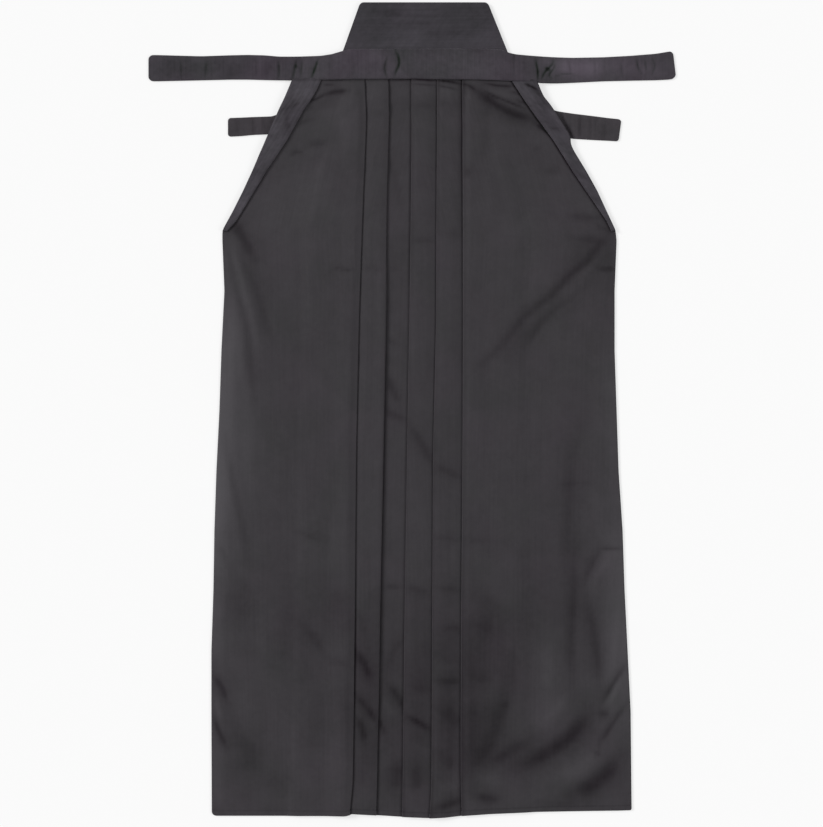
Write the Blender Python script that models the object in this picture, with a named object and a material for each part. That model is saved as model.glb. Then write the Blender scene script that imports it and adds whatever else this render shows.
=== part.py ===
"""Hakama trousers laid flat on a surface with the front up, as a maker cuts and sews them.

Metres, +Z up. +Y runs from the hem to the waist, and the origin is under the middle of the whole.
Every table below is in millimetres, and left and right are as seen from above.
"""

import math

import bmesh
import bpy
import numpy as np

MM = 0.001

# Driving sizes
CLOTH = 1.0
SEAM_GAP = 0.3
PLY = CLOTH + SEAM_GAP
FOLD_REACH = (PLY + CLOTH) / 2
FALL = 0.12
BOARD_THICK = 4.0
BACK_BAND_THICK = 2.2
WAIST_THICK = 4.6
TIE_THICK = 2.4
WAIST_Y = 429.0
BACK_TOP_Y = 380.0
OPENING_FOOT_Y = 231.0
CROTCH_Y = 30.0
HEM_Y = -527.0
HEM_FLARE_Y = -400.0
BOARD_FOOT_Y = 414.0
BACK_TIE_LOW_Y = 349.0
PILE_MARGIN = 20.0
PLEAT_DEPTH_WAIST = 12.0
PLEAT_DEPTH_HEM = 24.0
GUSSET_TOP_WIDTH = 4.0
GUSSET_HEM_WIDTH = 36.0

# Sections across the legs, from the waist to the hem
ROWS = np.array([
    429, 412, 380, 345, 311, 278, 248, 231, 205, 168, 125, 75, 20,
    -45, -110, -175, -240, -305, -365, -415, -455, -492, -527,
], float)

# Outline of the fronts: the waist, the slanting side openings, the side seams
SIDES = dict(
    y=(429, 407, 392, 350, 311, 285, 259, 233, 220, 155, 77, -1, -79, -157, -235, -313, -391, -527),
    left=(-154.5, -164, -171.5, -190, -206.5, -218.5, -231.5, -245.7, -245.7, -243.1, -247, -249.6,
          -253.5, -256.1, -257.4, -260, -260, -259.5),
    right=(163, 173, 184.5, 208, 227.5, 242, 253.5, 265.2, 266.5, 263.9, 263.9, 266.5,
           269.1, 274.3, 276.9, 280.8, 284.7, 286),
)

# Inner edge of the turned strip along each opening, and below it the run of the side seam
TURNS = dict(
    y=(429, 389, 350, 311, 272, 246, 231, 205, 155, -527),
    left=(-117, -142, -162.5, -188.5, -212, -228, -241.5, -235, -231, -246),
    right=(129.5, 155.5, 183.3, 208, 234.7, 253, 261, 255, 251, 272),
)

# Outline of the backs beside the openings, hidden under the fronts
BACK_SIDES = dict(y=(380, 231), left=(-106, -245.7), right=(132, 265.3))

# Fold edges of the five front pleats: a and b face right, c, d and e face left
PLEATS = dict(
    y=(429, 379, 272, 116, -53, -274, -495, -527),
    a=(-60.5, -57.6, -62.3, -67.6, -71.1, -72.9, -75.5, -80.6),
    b=(-29.3, -28.5, -31.5, -33.2, -36.4, -41.1, -44.2, -45.5),
    c=(-1.0, -0.5, -1.4, -3.5, -6.4, -9.8, -12.2, -13.0),
    d=(32.5, 32.4, 31.7, 31.2, 27.3, 26.1, 25.1, 22.1),
    e=(64.9, 65.5, 66.2, 66.4, 65.9, 64.0, 63.1, 65.0),
)

# Lower edge of the waist, and the hem, which isn't quite straight
WAIST_LINE = dict(
    x=(-154, -118, -59, 0, 37, 91, 132, 159, 168),
    y=(428, 428.6, 429.1, 430, 429.1, 428.6, 427, 426.4, 423),
)
HEM_LINE = dict(
    x=(-260, -86, -77, -40, -8, 25, 44, 64, 103, 160, 286),
    y=(-527.2, -527.2, -524.6, -526.5, -528.5, -529.8, -529.1, -527.2, -524.6, -522, -520),
)

# Front band with its ties: a station for each row, from the left end to the right one
FRONT_BAND = (
    # x, low, high
    (-341.9, 427.6, 461.0),
    (-334, 427.0, 461.4),
    (-273, 428.3, 459.7),
    (-235, 429.2, 461.0),
    (-212, 429.2, 461.5),
    (-190, 428.6, 460.9),
    (-172, 428.2, 459.3),
    (-154, 428.0, 459.3),
    (-118, 428.6, 459.9),
    (-104, 428.8, 461.8),
    (-90, 429.0, 466.0),
    (-80, 429.1, 468.5),
    (-40, 429.4, 468.7),
    (0, 430.0, 468.8),
    (37, 429.1, 469.0),
    (91, 428.6, 468.8),
    (117, 427.6, 468.0),
    (126, 427.2, 463.8),
    (136, 426.9, 461.6),
    (150, 426.5, 460.4),
    (168, 424.2, 459.3),
    (190, 424.2, 458.3),
    (209, 425.0, 457.7),
    (249, 427.0, 458.4),
    (283, 427.8, 460.2),
    (317, 428.4, 462.9),
    (334, 429.2, 465.6),
    (341.9, 431.0, 466.6),
)

# Back band with its ties, lower and straighter
BACK_BAND = (
    # x, low, high
    (-238.6, 354.3, 381.6),
    (-222, 354.6, 383.8),
    (-205, 355.0, 386.0),
    (-180, 357.0, 389.5),
    (-165, 362.0, 395.0),
    (-150, 368.5, 401.5),
    (-130, 376.5, 409.5),
    (-112, 380.5, 413.5),
    (0, 380.5, 413.7),
    (138, 380.5, 413.5),
    (155, 373.0, 406.0),
    (172, 363.5, 396.0),
    (188, 356.5, 388.5),
    (209, 352.3, 385.3),
    (240, 350.5, 381.5),
    (255, 349.8, 379.5),
    (271, 349.0, 377.7),
)

# Outline of the back board, from its lower left corner round
BOARD_SPAN = (-108.0, 145.6)
BOARD_CORNERS = ((-108, BOARD_FOOT_Y), (145.6, BOARD_FOOT_Y), (99, 529.7), (-66.5, 529.7))
BOARD_CORNER_RADIUS = 5.0
BOARD_EDGE_ROUND = 1.0

# Largest soft creases of the side panels: ends, height and half width of each ridge
CREASES = (
    # x0, y0, x1, y1, height, half_width
    (-228, 236, -202, 150, 2.6, 20),
    (-222, 130, -208, 20, 2.2, 20),
    (-150, 392, -100, 410, 2.2, 16),
    (-232, -60, -214, -200, 1.8, 20),
    (80, 412, 152, 378, 2.6, 18),
    (255, 218, 182, 150, 2.8, 20),
    (175, 132, 95, 66, 2.4, 20),
    (240, -392, 162, -452, 2.8, 24),
    (262, -440, 212, -484, 2.2, 20),
    (122, -320, 98, -440, 2.4, 22),
)

CLOTH_COLOURS = dict(
    body=(0.045, 0.042, 0.047),
    band=(0.053, 0.048, 0.056),
    board=(0.045, 0.042, 0.049),
    hidden=(0.041, 0.038, 0.043),
)
CLOTH_ROUGHNESS = 0.85

# Points round the half circle of a fold, and round a strip's corner
FOLD_TURNS = (math.pi / 4, math.pi / 2, 3 * math.pi / 4)
CORNER_TURNS = (math.pi / 2, math.pi / 4, 0.0)

# Shared lines down the garment, from left to right. Every ply has its points on these lines,
# so that plies that lie on each other bend at the same places and keep their distance.
LEFT_PANEL = ("l1", "l2", "l3", "l4", "l5", "l6")
RIGHT_PANEL = ("r6", "r5", "r4", "r3", "r2", "r1")
LINES = (
    ("side_l", "strip_l", "turn_l") + LEFT_PANEL
    + ("a_in", "a", "b_in", "b", "mid", "c", "c_in", "d", "d_in", "e", "e_in")
    + RIGHT_PANEL + ("turn_r", "strip_r", "side_r")
)
AT = {name: i for i, name in enumerate(LINES)}


def along(table, column, y):
    """A table's column at the heights y; the tables run from the waist down."""
    return np.interp(y, table["y"][::-1], table[column][::-1])


def share(y):
    """0 at the waist and 1 at the hem."""
    return (WAIST_Y - y) / (WAIST_Y - HEM_Y)


def line_places():
    """x of every shared line in every row."""
    y = ROWS
    depth = PLEAT_DEPTH_WAIST + (PLEAT_DEPTH_HEM - PLEAT_DEPTH_WAIST) * share(y)
    x = {}
    for pleat, inward in (("a", -1), ("b", -1), ("c", 1), ("d", 1), ("e", 1)):
        x[pleat] = along(PLEATS, pleat, y) + inward * FOLD_REACH
        x[pleat + "_in"] = x[pleat] + inward * depth
    x["mid"] = (x["b"] + x["c"]) / 2
    for side, suffix in (("left", "_l"), ("right", "_r")):
        x["side" + suffix] = along(SIDES, side, y)
        x["turn" + suffix] = along(TURNS, side, y)
        x["strip" + suffix] = (x["side" + suffix] + x["turn" + suffix]) / 2
    for names, start, end in ((LEFT_PANEL, "turn_l", "a_in"), (RIGHT_PANEL, "e_in", "turn_r")):
        for i, name in enumerate(names, 1):
            x[name] = x[start] + (x[end] - x[start]) * i / (len(names) + 1)
    return np.stack([x[name] for name in LINES], axis=1)


def row_places(x):
    """y of every point: the rows, bent to the waist line at the top and to the hem line below."""
    y = np.repeat(ROWS[:, None], x.shape[1], axis=1)
    y[0] = np.interp(x[0], WAIST_LINE["x"], WAIST_LINE["y"]) - SEAM_GAP
    near_hem = np.clip((HEM_FLARE_Y - y) / (HEM_FLARE_Y - HEM_Y), 0, 1)
    return y + near_hem * (np.interp(x, HEM_LINE["x"], HEM_LINE["y"]) - HEM_Y)


X = line_places()
Y = row_places(X)


def settle(below, x):
    """The lowest cloth that stays on or above what is below and never falls off faster than FALL."""
    across = below[:, None, :] - FALL * np.abs(x[:, :, None] - x[:, None, :])
    z = across.max(axis=2)
    down = z[None, :, :] - FALL * np.abs(ROWS[:, None] - ROWS[None, :])[:, :, None]
    return down.max(axis=1)


def lay(top, first, last):
    """Lays one ply on the pile between two lines and returns the heights of its middle."""
    span = slice(AT[first], AT[last] + 1)
    z = settle(top[:, span], X[:, span]) + SEAM_GAP + CLOTH / 2
    top[:, span] = np.maximum(top[:, span], z + CLOTH / 2)
    return z


def ridges(x, y):
    """Height that the soft creases add."""
    z = np.zeros_like(x)
    for x0, y0, x1, y1, height, half_width in CREASES:
        run = np.array((x1 - x0, y1 - y0), float)
        part = np.clip(((x - x0) * run[0] + (y - y0) * run[1]) / (run @ run), 0, 1)
        away = np.hypot(x - x0 - part * run[0], y - y0 - part * run[1])
        z += height * (0.5 + 0.5 * np.cos(np.pi * np.minimum(away / half_width, 1)))
    return z


def ply(x, z):
    """The points of one laid stretch of cloth."""
    return np.stack([x, row_places(x), np.broadcast_to(z, x.shape)], axis=2)


def run(z, first, last, back=False):
    """One laid ply between two lines, running right, or left where back is set."""
    points = ply(X[:, AT[first] : AT[last] + 1], z)
    return points[:, ::-1] if back else points


def fold(runs, up):
    """Joins runs of cloth by a half-round fold at each turn. Gives the points, and the unit vectors
    towards the side of the cloth that faces up on the first run, or down where up is -1."""
    points = [runs[0]]
    sides = [np.broadcast_to((0.0, 0.0, up), runs[0].shape)]
    facing = up
    for before, after in zip(runs, runs[1:]):
        start, end = before[:, -1], after[:, 0]
        heading = np.sign(start[:, 0] - before[:, -2, 0])
        radius = (start[:, 2] - end[:, 2]) / 2
        downward = np.sign(radius)
        for turn in FOLD_TURNS:
            place = (start + end) / 2
            place[:, 0] = start[:, 0] + heading * np.abs(radius) * math.sin(turn)
            place[:, 2] += radius * math.cos(turn)
            points.append(place[:, None])
            side = np.zeros_like(place)
            side[:, 0] = facing * downward * heading * math.sin(turn)
            side[:, 2] = facing * math.cos(turn)
            sides.append(side[:, None])
        facing = -facing
        points.append(after)
        sides.append(np.broadcast_to((0.0, 0.0, facing), after.shape))
    return np.concatenate(points, axis=1), np.concatenate(sides, axis=1)


def material(kind):
    found = bpy.data.materials.get(kind)
    if found:
        return found
    made = bpy.data.materials.new(kind)
    made.use_nodes = True
    shader = made.node_tree.nodes["Principled BSDF"]
    shader.inputs["Base Color"].default_value = (*CLOTH_COLOURS[kind], 1)
    shader.inputs["Roughness"].default_value = CLOTH_ROUGHNESS
    return made


def finish(bm, name, kind):
    """Turns the faces outwards and makes the object."""
    bmesh.ops.recalc_face_normals(bm, faces=bm.faces)
    mesh = bpy.data.meshes.new(name)
    bm.to_mesh(mesh)
    bm.free()
    mesh.materials.append(material(kind))
    obj = bpy.data.objects.new(name, mesh)
    bpy.context.scene.collection.objects.link(obj)
    return obj


def patch(bm, a, b, c, d):
    """Two triangles on the points of a four-sided patch, always cut from its upper left corner
    to its lower right one, so that plies on each other are cut alike."""
    if a.co.x < b.co.x:
        bm.faces.new((a, b, c))
        bm.faces.new((a, c, d))
    else:
        bm.faces.new((a, b, d))
        bm.faces.new((b, c, d))


def wall(name, points, normals, kind="body", thick=CLOTH):
    """A ply of cloth: two sheets through the same sections, joined along all four edges."""
    bm = bmesh.new()
    sheets = []
    for side in (1, -1):
        places = (points + side * normals * thick / 2) * MM
        sheets.append([[bm.verts.new(p) for p in row] for row in places])
    outer, inner = sheets
    for sheet in sheets:
        for upper, lower in zip(sheet, sheet[1:]):
            for i in range(len(upper) - 1):
                patch(bm, upper[i], upper[i + 1], lower[i + 1], lower[i])
    for j in range(len(outer) - 1):
        for i in (0, -1):
            bm.faces.new((outer[j][i], outer[j + 1][i], inner[j + 1][i], inner[j][i]))
    for j in (0, -1):
        for i in range(len(outer[0]) - 1):
            bm.faces.new((outer[j][i], outer[j][i + 1], inner[j][i + 1], inner[j][i]))
    return finish(bm, name, kind)


def round_off(station, towards, corner):
    """The stations that round the two corners of a strip's end, from the end inwards."""
    x, low, high, bottom, thick = station
    for turn in CORNER_TURNS:
        inset = corner * (1 - math.cos(turn))
        along_x = corner * (1 - math.sin(turn))
        yield x + towards * along_x, low + inset, high - inset, bottom, thick


def strip(name, stations, corner):
    """A flat band through stations of x, low, high, bottom and thickness, with rounded corners."""
    first, last = stations[0], stations[-1]
    rounded = list(round_off(first, 1, corner))
    rounded += [s for s in stations if first[0] + corner < s[0] < last[0] - corner]
    rounded += reversed(list(round_off(last, -1, corner)))
    bm = bmesh.new()
    rings = []
    for x, low, high, bottom, thick in rounded:
        edge = thick / 3
        top = bottom + thick
        section = (
            (low, bottom + edge), (low + edge, bottom), (high - edge, bottom), (high, bottom + edge),
            (high, top - edge), (high - edge, top), (low + edge, top), (low, top - edge),
        )
        rings.append([bm.verts.new((x * MM, y * MM, z * MM)) for y, z in section])
    for ring, after in zip(rings, rings[1:]):
        for i, point in enumerate(ring):
            bm.faces.new((ring[i - 1], point, after[i], after[i - 1]))
    bm.faces.new(rings[0])
    bm.faces.new(rings[-1])
    return finish(bm, name, "band")


def board():
    """The stiff back board, a trapezoid with rounded corners and edges."""
    bm = bmesh.new()
    bm.faces.new([bm.verts.new((x * MM, y * MM, 0)) for x, y in BOARD_CORNERS])
    bmesh.ops.bevel(bm, geom=bm.verts[:], affect="VERTICES", offset=BOARD_CORNER_RADIUS * MM,
                    segments=4, profile=0.5, material=-1)
    raised = bmesh.ops.extrude_face_region(bm, geom=bm.faces[:])["geom"]
    lifted = [v for v in raised if isinstance(v, bmesh.types.BMVert)]
    bmesh.ops.translate(bm, verts=lifted, vec=(0, 0, BOARD_THICK * MM))
    rims = [e for e in bm.edges if abs(e.verts[0].co.z - e.verts[1].co.z) < BOARD_EDGE_ROUND * MM / 2]
    bmesh.ops.bevel(bm, geom=rims, affect="EDGES", offset=BOARD_EDGE_ROUND * MM,
                    segments=2, profile=0.5, material=-1)
    return finish(bm, "back_board", "board")


def waist_height(x):
    """Underside of the front band: on the board, and from there down to the surface."""
    left, right = BOARD_SPAN
    beside = max(left - x, x - right, 0)
    return max(BOARD_THICK + SEAM_GAP - FALL * beside, 0)


def waist_thickness(x):
    """The band is thick over the pleats and thins to the ties."""
    return float(np.interp(abs(x), (130, 200), (WAIST_THICK, TIE_THICK)))


def backs(top):
    """The back of each leg: a panel on the surface with one pleat, its fold facing the middle."""
    rows = ROWS <= BACK_TOP_Y
    floor = CLOTH / 2
    for name, sign, side, pleat, beyond in (
        ("back_left", -1, "left", ("l5", "l6"), ("a_in", "a")),
        ("back_right", 1, "right", ("r5", "r6"), ("e_in", "e")),
    ):
        opening = along(BACK_SIDES, side, ROWS)
        edge = np.where(ROWS >= OPENING_FOOT_Y, opening, along(SIDES, side, ROWS))
        shared = [AT[line] for line in pleat + beyond]
        hidden, turned = X[:, shared[0]], X[:, shared[1]]
        seam = X[:, AT["mid"]] + sign * SEAM_GAP / 2
        outer = np.stack([edge, (edge + hidden) / 2, hidden, turned], axis=1)
        inner = np.column_stack([X[:, shared], seam])
        past_fold = np.maximum(sign * (turned[:, None] - inner), 0)
        height = np.maximum(floor + 2 * PLY - FALL * past_fold, floor)
        top[:, shared] = np.maximum(top[:, shared], height[:, :-1] + CLOTH / 2)
        runs = (ply(outer, floor), ply(outer[:, :1:-1], floor + PLY), ply(inner, height))
        wall(name, *fold([points[rows] for points in runs], -1), "hidden")


def gussets(top):
    """A narrow piece inside each leg, from the crotch to the hem, on the back beside the middle."""
    rows = ROWS <= CROTCH_Y
    down = np.clip((CROTCH_Y - ROWS) / (CROTCH_Y - HEM_Y), 0, 1)
    width = GUSSET_TOP_WIDTH + (GUSSET_HEM_WIDTH - GUSSET_TOP_WIDTH) * down
    for name, sign in (("gusset_left", -1), ("gusset_right", 1)):
        middle = X[:, AT["mid"]]
        x = np.stack([middle + sign * SEAM_GAP / 2, middle + sign * width], axis=1)
        points = ply(x, PLY + CLOTH / 2)[rows]
        wall(name, points, np.broadcast_to((0.0, 0.0, 1.0), points.shape), "hidden")
    covered = ROWS <= CROTCH_Y + PILE_MARGIN
    span = slice(AT["b_in"], AT["d"] + 1)
    top[covered, span] = np.maximum(top[covered, span], PLY + CLOTH)


def ground():
    """Top of what the fronts lie on, apart from the backs' pleats and the gussets."""
    top = np.full(X.shape, CLOTH)
    top[(Y > BACK_TIE_LOW_Y - PILE_MARGIN) & (Y < BOARD_FOOT_Y)] = BACK_BAND_THICK
    left, right = BOARD_SPAN
    beside_board = (X > left - PILE_MARGIN) & (X < right + PILE_MARGIN)
    top[(Y > BOARD_FOOT_Y - PILE_MARGIN / 2) & beside_board] = BOARD_THICK
    return top


def fronts(top):
    """The two fronts, laid from the lowest ply up, with the turned strips of the openings on them."""
    strip_bc = lay(top, "b_in", "c_in")
    return_b = lay(top, "b_in", "b")
    strip_ab = lay(top, "a_in", "b")
    return_a = lay(top, "a_in", "a")
    panel_l = lay(top, "side_l", "a")
    return_c = lay(top, "c", "c_in")
    strip_cd = lay(top, "c", "d_in")
    return_d = lay(top, "d", "d_in")
    strip_de = lay(top, "d", "e_in")
    return_e = lay(top, "e", "e_in")
    panel_r = lay(top, "e", "side_r")
    panel_l += ridges(X[:, : AT["a"] + 1], Y[:, : AT["a"] + 1])
    panel_r += ridges(X[:, AT["e"] :], Y[:, AT["e"] :])
    wall("front_left", *fold([
        run(panel_l, "side_l", "a"),
        run(return_a, "a_in", "a", back=True),
        run(strip_ab, "a_in", "b"),
        run(return_b, "b_in", "b", back=True),
        run(strip_bc, "b_in", "c_in"),
    ], 1))
    wall("front_right", *fold([
        run(panel_r, "e", "side_r", back=True),
        run(return_e, "e", "e_in"),
        run(strip_de, "d", "e_in", back=True),
        run(return_d, "d", "d_in"),
        run(strip_cd, "c", "d_in", back=True),
        run(return_c, "c", "c_in"),
    ], 1))
    rows = ROWS >= OPENING_FOOT_Y
    for name, z, first, last, back in (
        ("side_fold_left", panel_l[:, :3], "side_l", "turn_l", False),
        ("side_fold_right", panel_r[:, -3:], "turn_r", "side_r", True),
    ):
        under = run(z + PLY, first, last, back)[rows]
        over = run(z + 2 * PLY, first, last, not back)[rows]
        wall(name, *fold([under, over], -1))


for old in list(bpy.data.objects):
    bpy.data.objects.remove(old)

board()
strip("back_band", [(x, low, high, 0.0, BACK_BAND_THICK) for x, low, high in BACK_BAND], 4.0)
pile = ground()
backs(pile)
gussets(pile)
fronts(pile)
strip(
    "front_band",
    [(x, low, high, waist_height(x), waist_thickness(x)) for x, low, high in FRONT_BAND],
    4.5,
)
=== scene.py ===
"""Looks of the hakama trousers: every piece of cloth laid over its solid, the floor, light and camera.

Tables are in millimetres, as in the CAD source: +Y from the hem to the waist, +X to the right
seen from above, +Z up. Left and right are as seen from above.
"""

import math

import bmesh
import bpy
import numpy as np
from mathutils import Matrix, Vector
from mathutils.bvhtree import BVHTree


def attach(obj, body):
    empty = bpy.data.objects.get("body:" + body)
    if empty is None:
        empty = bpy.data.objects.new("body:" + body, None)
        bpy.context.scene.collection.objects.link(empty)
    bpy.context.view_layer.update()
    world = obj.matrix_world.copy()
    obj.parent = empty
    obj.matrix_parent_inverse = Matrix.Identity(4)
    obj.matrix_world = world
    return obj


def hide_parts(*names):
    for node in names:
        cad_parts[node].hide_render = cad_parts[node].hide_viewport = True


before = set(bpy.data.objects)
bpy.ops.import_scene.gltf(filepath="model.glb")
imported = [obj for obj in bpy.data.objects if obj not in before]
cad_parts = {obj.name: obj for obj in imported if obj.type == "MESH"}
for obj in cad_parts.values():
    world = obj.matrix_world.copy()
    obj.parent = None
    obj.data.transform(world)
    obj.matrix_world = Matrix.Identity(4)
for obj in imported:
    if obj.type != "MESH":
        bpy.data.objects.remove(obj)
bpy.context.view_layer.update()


# Back board (koshi-ita): a stiff trapezoid that stands against the small of the back when worn.
# It is card or resin under the same charcoal twill, which is drawn tight round its edges.
MM = 0.001
BOARD_FOOT_Y = 414.0
BOARD_HEAD_Y = 529.7
BOARD_FOOT_SPAN = (-108.0, 145.6)
BOARD_HEAD_SPAN = (-66.5, 99.0)
BOARD_THICK = 4.0
BOARD_CORNER = 5.0
BOARD_EDGE_ROUND = 1.0
BOARD_PITCH = 2.4
LEAN_REACH = 20.0
# A crease fades over this share of its length at each end, and down to this share there. The
# sharp core has these shares of its height and of its shade.
CREASE_FADE = 0.3
FADED_END = 0.35
CORE_OF_RISE = 0.65
CORE_OF_SHADE = 0.55
# Creases of the board's cloth with painted shade along them, and a band painted lighter across the
# board
BOARD_CREASES_AND_SHADE = (
    # rise, half width, shade, line
    (0, 9, 0.14, ((-79, 475), (12, 475), (116, 475))),
    (-0.1, 3, -0.2, ((-51, 517), (-14, 515))),
    (-0.1, 3, -0.18, ((-20, 501), (38, 502))),
    (-0.1, 3, -0.16, ((12, 491), (77, 489))),
    (-0.15, 5, -0.12, ((-30, 512), (46, 512))),
    (-0.1, 5, -0.08, ((-79, 504), (-35, 502))),
    (-0.1, 8, -0.06, ((51, 493), (116, 491))),
    (0.1, 20, 0.05, ((-53, 486), (38, 483))),
)


def curve_through(line, steps=5):
    """A smooth line through the given points."""
    points = np.array(line, float)
    if len(points) < 3:
        return points
    ends = (2 * points[0] - points[1], 2 * points[-1] - points[-2])
    points = np.vstack([ends[0], points, ends[1]])
    drawn = []
    for a, b, c, d in zip(points, points[1:], points[2:], points[3:]):
        for t in np.arange(steps) / steps:
            drawn.append(b + ((c - a) * t + (2 * a - 5 * b + 4 * c - d) * t**2
                              + (3 * b - a - 3 * c + d) * t**3) / 2)
    return np.array([*drawn, points[-2]])


def lengths(line):
    """The length of each step of a line, and of the line up to each of its points."""
    steps = np.hypot(*np.diff(line, axis=0).T)
    return steps, np.concatenate([[0], np.cumsum(steps)])


def soft_step(value):
    """A value held between 0 and 1, with a soft start and end."""
    value = np.clip(value, 0, 1)
    return value * value * (3 - 2 * value)


def hump(away, reach):
    """A soft hump, 1 at its middle and 0 at its reach."""
    return (0.5 + 0.5 * np.cos(np.pi * np.minimum(away / reach, 1))) ** 1.5


def crease_field(x, y, creases, halo=2.3):
    """Height and change of shade that creases give at the points x, y: a sharp core
    in a softer slope that is halo times as wide. Both fade towards the ends of the crease."""
    # The shade is painted shade below 0 and painted light above 0, carried in the cloth's colour
    height, shade = np.zeros(x.shape), np.zeros(x.shape)
    for rise, half_width, tone, line in creases:
        drawn = curve_through(line)
        reach = half_width * halo
        low, high = drawn.min(axis=0) - reach, drawn.max(axis=0) + reach
        near = (x > low[0]) & (x < high[0]) & (y > low[1]) & (y < high[1])
        if not near.any():
            continue
        px, py = x[near], y[near]
        steps, before = lengths(drawn)
        away, place = np.full(px.shape, np.inf), np.zeros(px.shape)
        for start, end, step, done in zip(drawn, drawn[1:], steps, before):
            dx, dy = end - start
            part = np.clip(((px - start[0]) * dx + (py - start[1]) * dy) / step**2, 0, 1)
            off = np.hypot(px - start[0] - part * dx, py - start[1] - part * dy)
            closer = off < away
            away = np.where(closer, off, away)
            place = np.where(closer, (done + part * step) / before[-1], place)
        to_end = np.minimum(place, 1 - place)
        fade = FADED_END + (1 - FADED_END) * soft_step(to_end / CREASE_FADE)
        core, slope = hump(away, half_width), hump(away, reach)
        height[near] += rise * (CORE_OF_RISE * core + (1 - CORE_OF_RISE) * slope) * fade
        shade[near] += tone * (CORE_OF_SHADE * core + (1 - CORE_OF_SHADE) * slope) * fade
    return height, shade


def soft_waves(x, y, seed, longest=150.0, count=26, drawn_out=0.6):
    """Gentle unevenness of a laid cloth, about 1 at its strongest, drawn out along the warp."""
    chance = np.random.default_rng(seed)
    total = np.zeros(x.shape)
    for length in np.geomspace(longest / 6, longest, count):
        turn, start = chance.uniform(0, 2 * math.pi, 2)
        run_across = x * math.cos(turn) + drawn_out * y * math.sin(turn)
        total += length * np.sin(2 * math.pi * run_across / length + start)
    return total / (longest * count**0.5 / 2.2)


def placed(name, data):
    """Puts a mesh, a lamp or a camera in the scene as an object of its own."""
    made = bpy.data.objects.new(name, data)
    bpy.context.scene.collection.objects.link(made)
    return made


def new_piece(name, bm):
    """Puts a finished bmesh in the scene."""
    mesh = bpy.data.meshes.new(name)
    bm.to_mesh(mesh)
    bm.free()
    return placed(name, mesh)


def grid_piece(name, places, shade, flat):
    """A grid moved point by point to its places, in millimetres. Its rows run from the hem up and
    its columns to the right where it faces up. flat is where each point lies in the uncut cloth."""
    rows, columns = places.shape[:2]
    bm = bmesh.new()
    bmesh.ops.create_grid(bm, x_segments=columns - 1, y_segments=rows - 1, size=1.0)
    piece = new_piece(name, bm)
    mesh = piece.data
    mesh.vertices.foreach_set("co", (places * MM).astype(np.float32).ravel())
    corner_points = np.zeros(len(mesh.loops), np.int32)
    mesh.loops.foreach_get("vertex_index", corner_points)
    pattern = mesh.uv_layers.new(name="pattern")
    uv = (flat.reshape(-1, 2) * MM)[corner_points]
    pattern.data.foreach_set("uv", uv.astype(np.float32).ravel())
    tone = mesh.attributes.new("shade", "FLOAT", "POINT")
    tone.data.foreach_set("value", shade.astype(np.float32).ravel())
    mesh.polygons.foreach_set("use_smooth", np.ones(len(mesh.polygons), bool))
    mesh.update()
    return piece


def close_up(piece):
    """Merges the points where the grid meets itself, and turns the faces outwards."""
    bm = bmesh.new()
    bm.from_mesh(piece.data)
    bmesh.ops.remove_doubles(bm, verts=bm.verts, dist=1e-7)
    bmesh.ops.recalc_face_normals(bm, faces=bm.faces)
    bm.to_mesh(piece.data)
    bm.free()


def flat_tube(name, stations, low, high, bottom, thick, relief, across_x=False,
              corner=4.5, end_round=1.2, crisp=7.0, around=26, lean=(0, 0)):
    """A flat closed strip with soft edges. Each station has its low and high edge, its underside
    and its thickness at both edges. relief gives the height and shade of its creases.
    lean is how far each end leads at its high edge, for each millimetre of its width."""
    bottom = np.broadcast_to(bottom, stations.shape)
    thick = np.broadcast_to(thick, (len(stations), 2))
    first, last = stations[0], stations[-1]
    to_end = np.minimum(stations - first, last - stations)
    inset = np.where(to_end < corner, corner - np.sqrt(np.maximum(
        corner**2 - (corner - np.minimum(to_end, corner)) ** 2, 0)), 0)
    near = np.clip(to_end / end_round, 0, 1)
    closing = np.sqrt(1 - (1 - near) ** 2)
    turn = np.linspace(0, 2 * np.pi, 2 * around + 1)
    across = -np.cos(turn)
    body = (1 - np.abs(across) ** crisp) ** (1 / crisp)
    side = np.sign(np.pi - turn)
    side[[0, around, -1]] = 0
    lower, upper = (low + inset)[:, None], (high - inset)[:, None]
    v = lower + (upper - lower) * (across + 1) / 2
    by_first, by_last = (
        np.clip(1 - off / LEAN_REACH, 0, 1) for off in (stations - first, last - stations))
    leading = lean[0] * by_first**2 + lean[1] * by_last**2
    u = stations[:, None] + leading[:, None] * (v - (lower + upper) / 2)
    edge_share = (across + 1) / 2
    deep = thick[:, :1] * (1 - edge_share) + thick[:, 1:] * edge_share
    middle = bottom[:, None] + deep / 2
    z = middle + side * deep / 2 * body * closing[:, None]
    over, over_shade = relief(u, v)
    soft = closing[:, None] * body**2
    z = z + np.where(side > 0, over, 0) * soft
    girth = np.cumsum(np.hypot(np.diff(v, axis=1, prepend=v[:, :1]),
                               np.diff(z, axis=1, prepend=z[:, :1])), axis=1)
    flat = np.stack([u, girth], axis=2)
    shade = np.where(side >= 0, over_shade, 0)
    places = np.stack([v, u, z] if across_x else [u, v, z], axis=2)
    piece = grid_piece(name, places, shade, flat)
    close_up(piece)
    return piece


def spaced(first, last, pitch, end_steps=(0, 0.08, 0.3, 0.7, 1.2, 1.9, 2.8, 3.8), end_run=5):
    """Places along a strip, closer together at its two rounded ends."""
    ends = np.array(end_steps)
    count = max(int((last - first - 2 * end_run) / pitch), 2)
    inner = np.linspace(first + end_run, last - end_run, count)
    return np.concatenate([first + ends, inner, last - ends[::-1]])


def set_sockets(made, node, sockets):
    """Gives each socket of a material's node its value, or links another node's output to it."""
    for socket, value in sockets.items():
        if isinstance(value, bpy.types.NodeSocket):
            made.node_tree.links.new(value, node.inputs[socket])
        else:
            node.inputs[socket].default_value = value


def new_finish(name, sockets):
    """A new material and its shader, with these values on the shader's own sockets."""
    made = bpy.data.materials.new(name)
    made.use_nodes = True
    shader = made.node_tree.nodes["Principled BSDF"]
    set_sockets(made, shader, sockets)
    return made, shader


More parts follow.
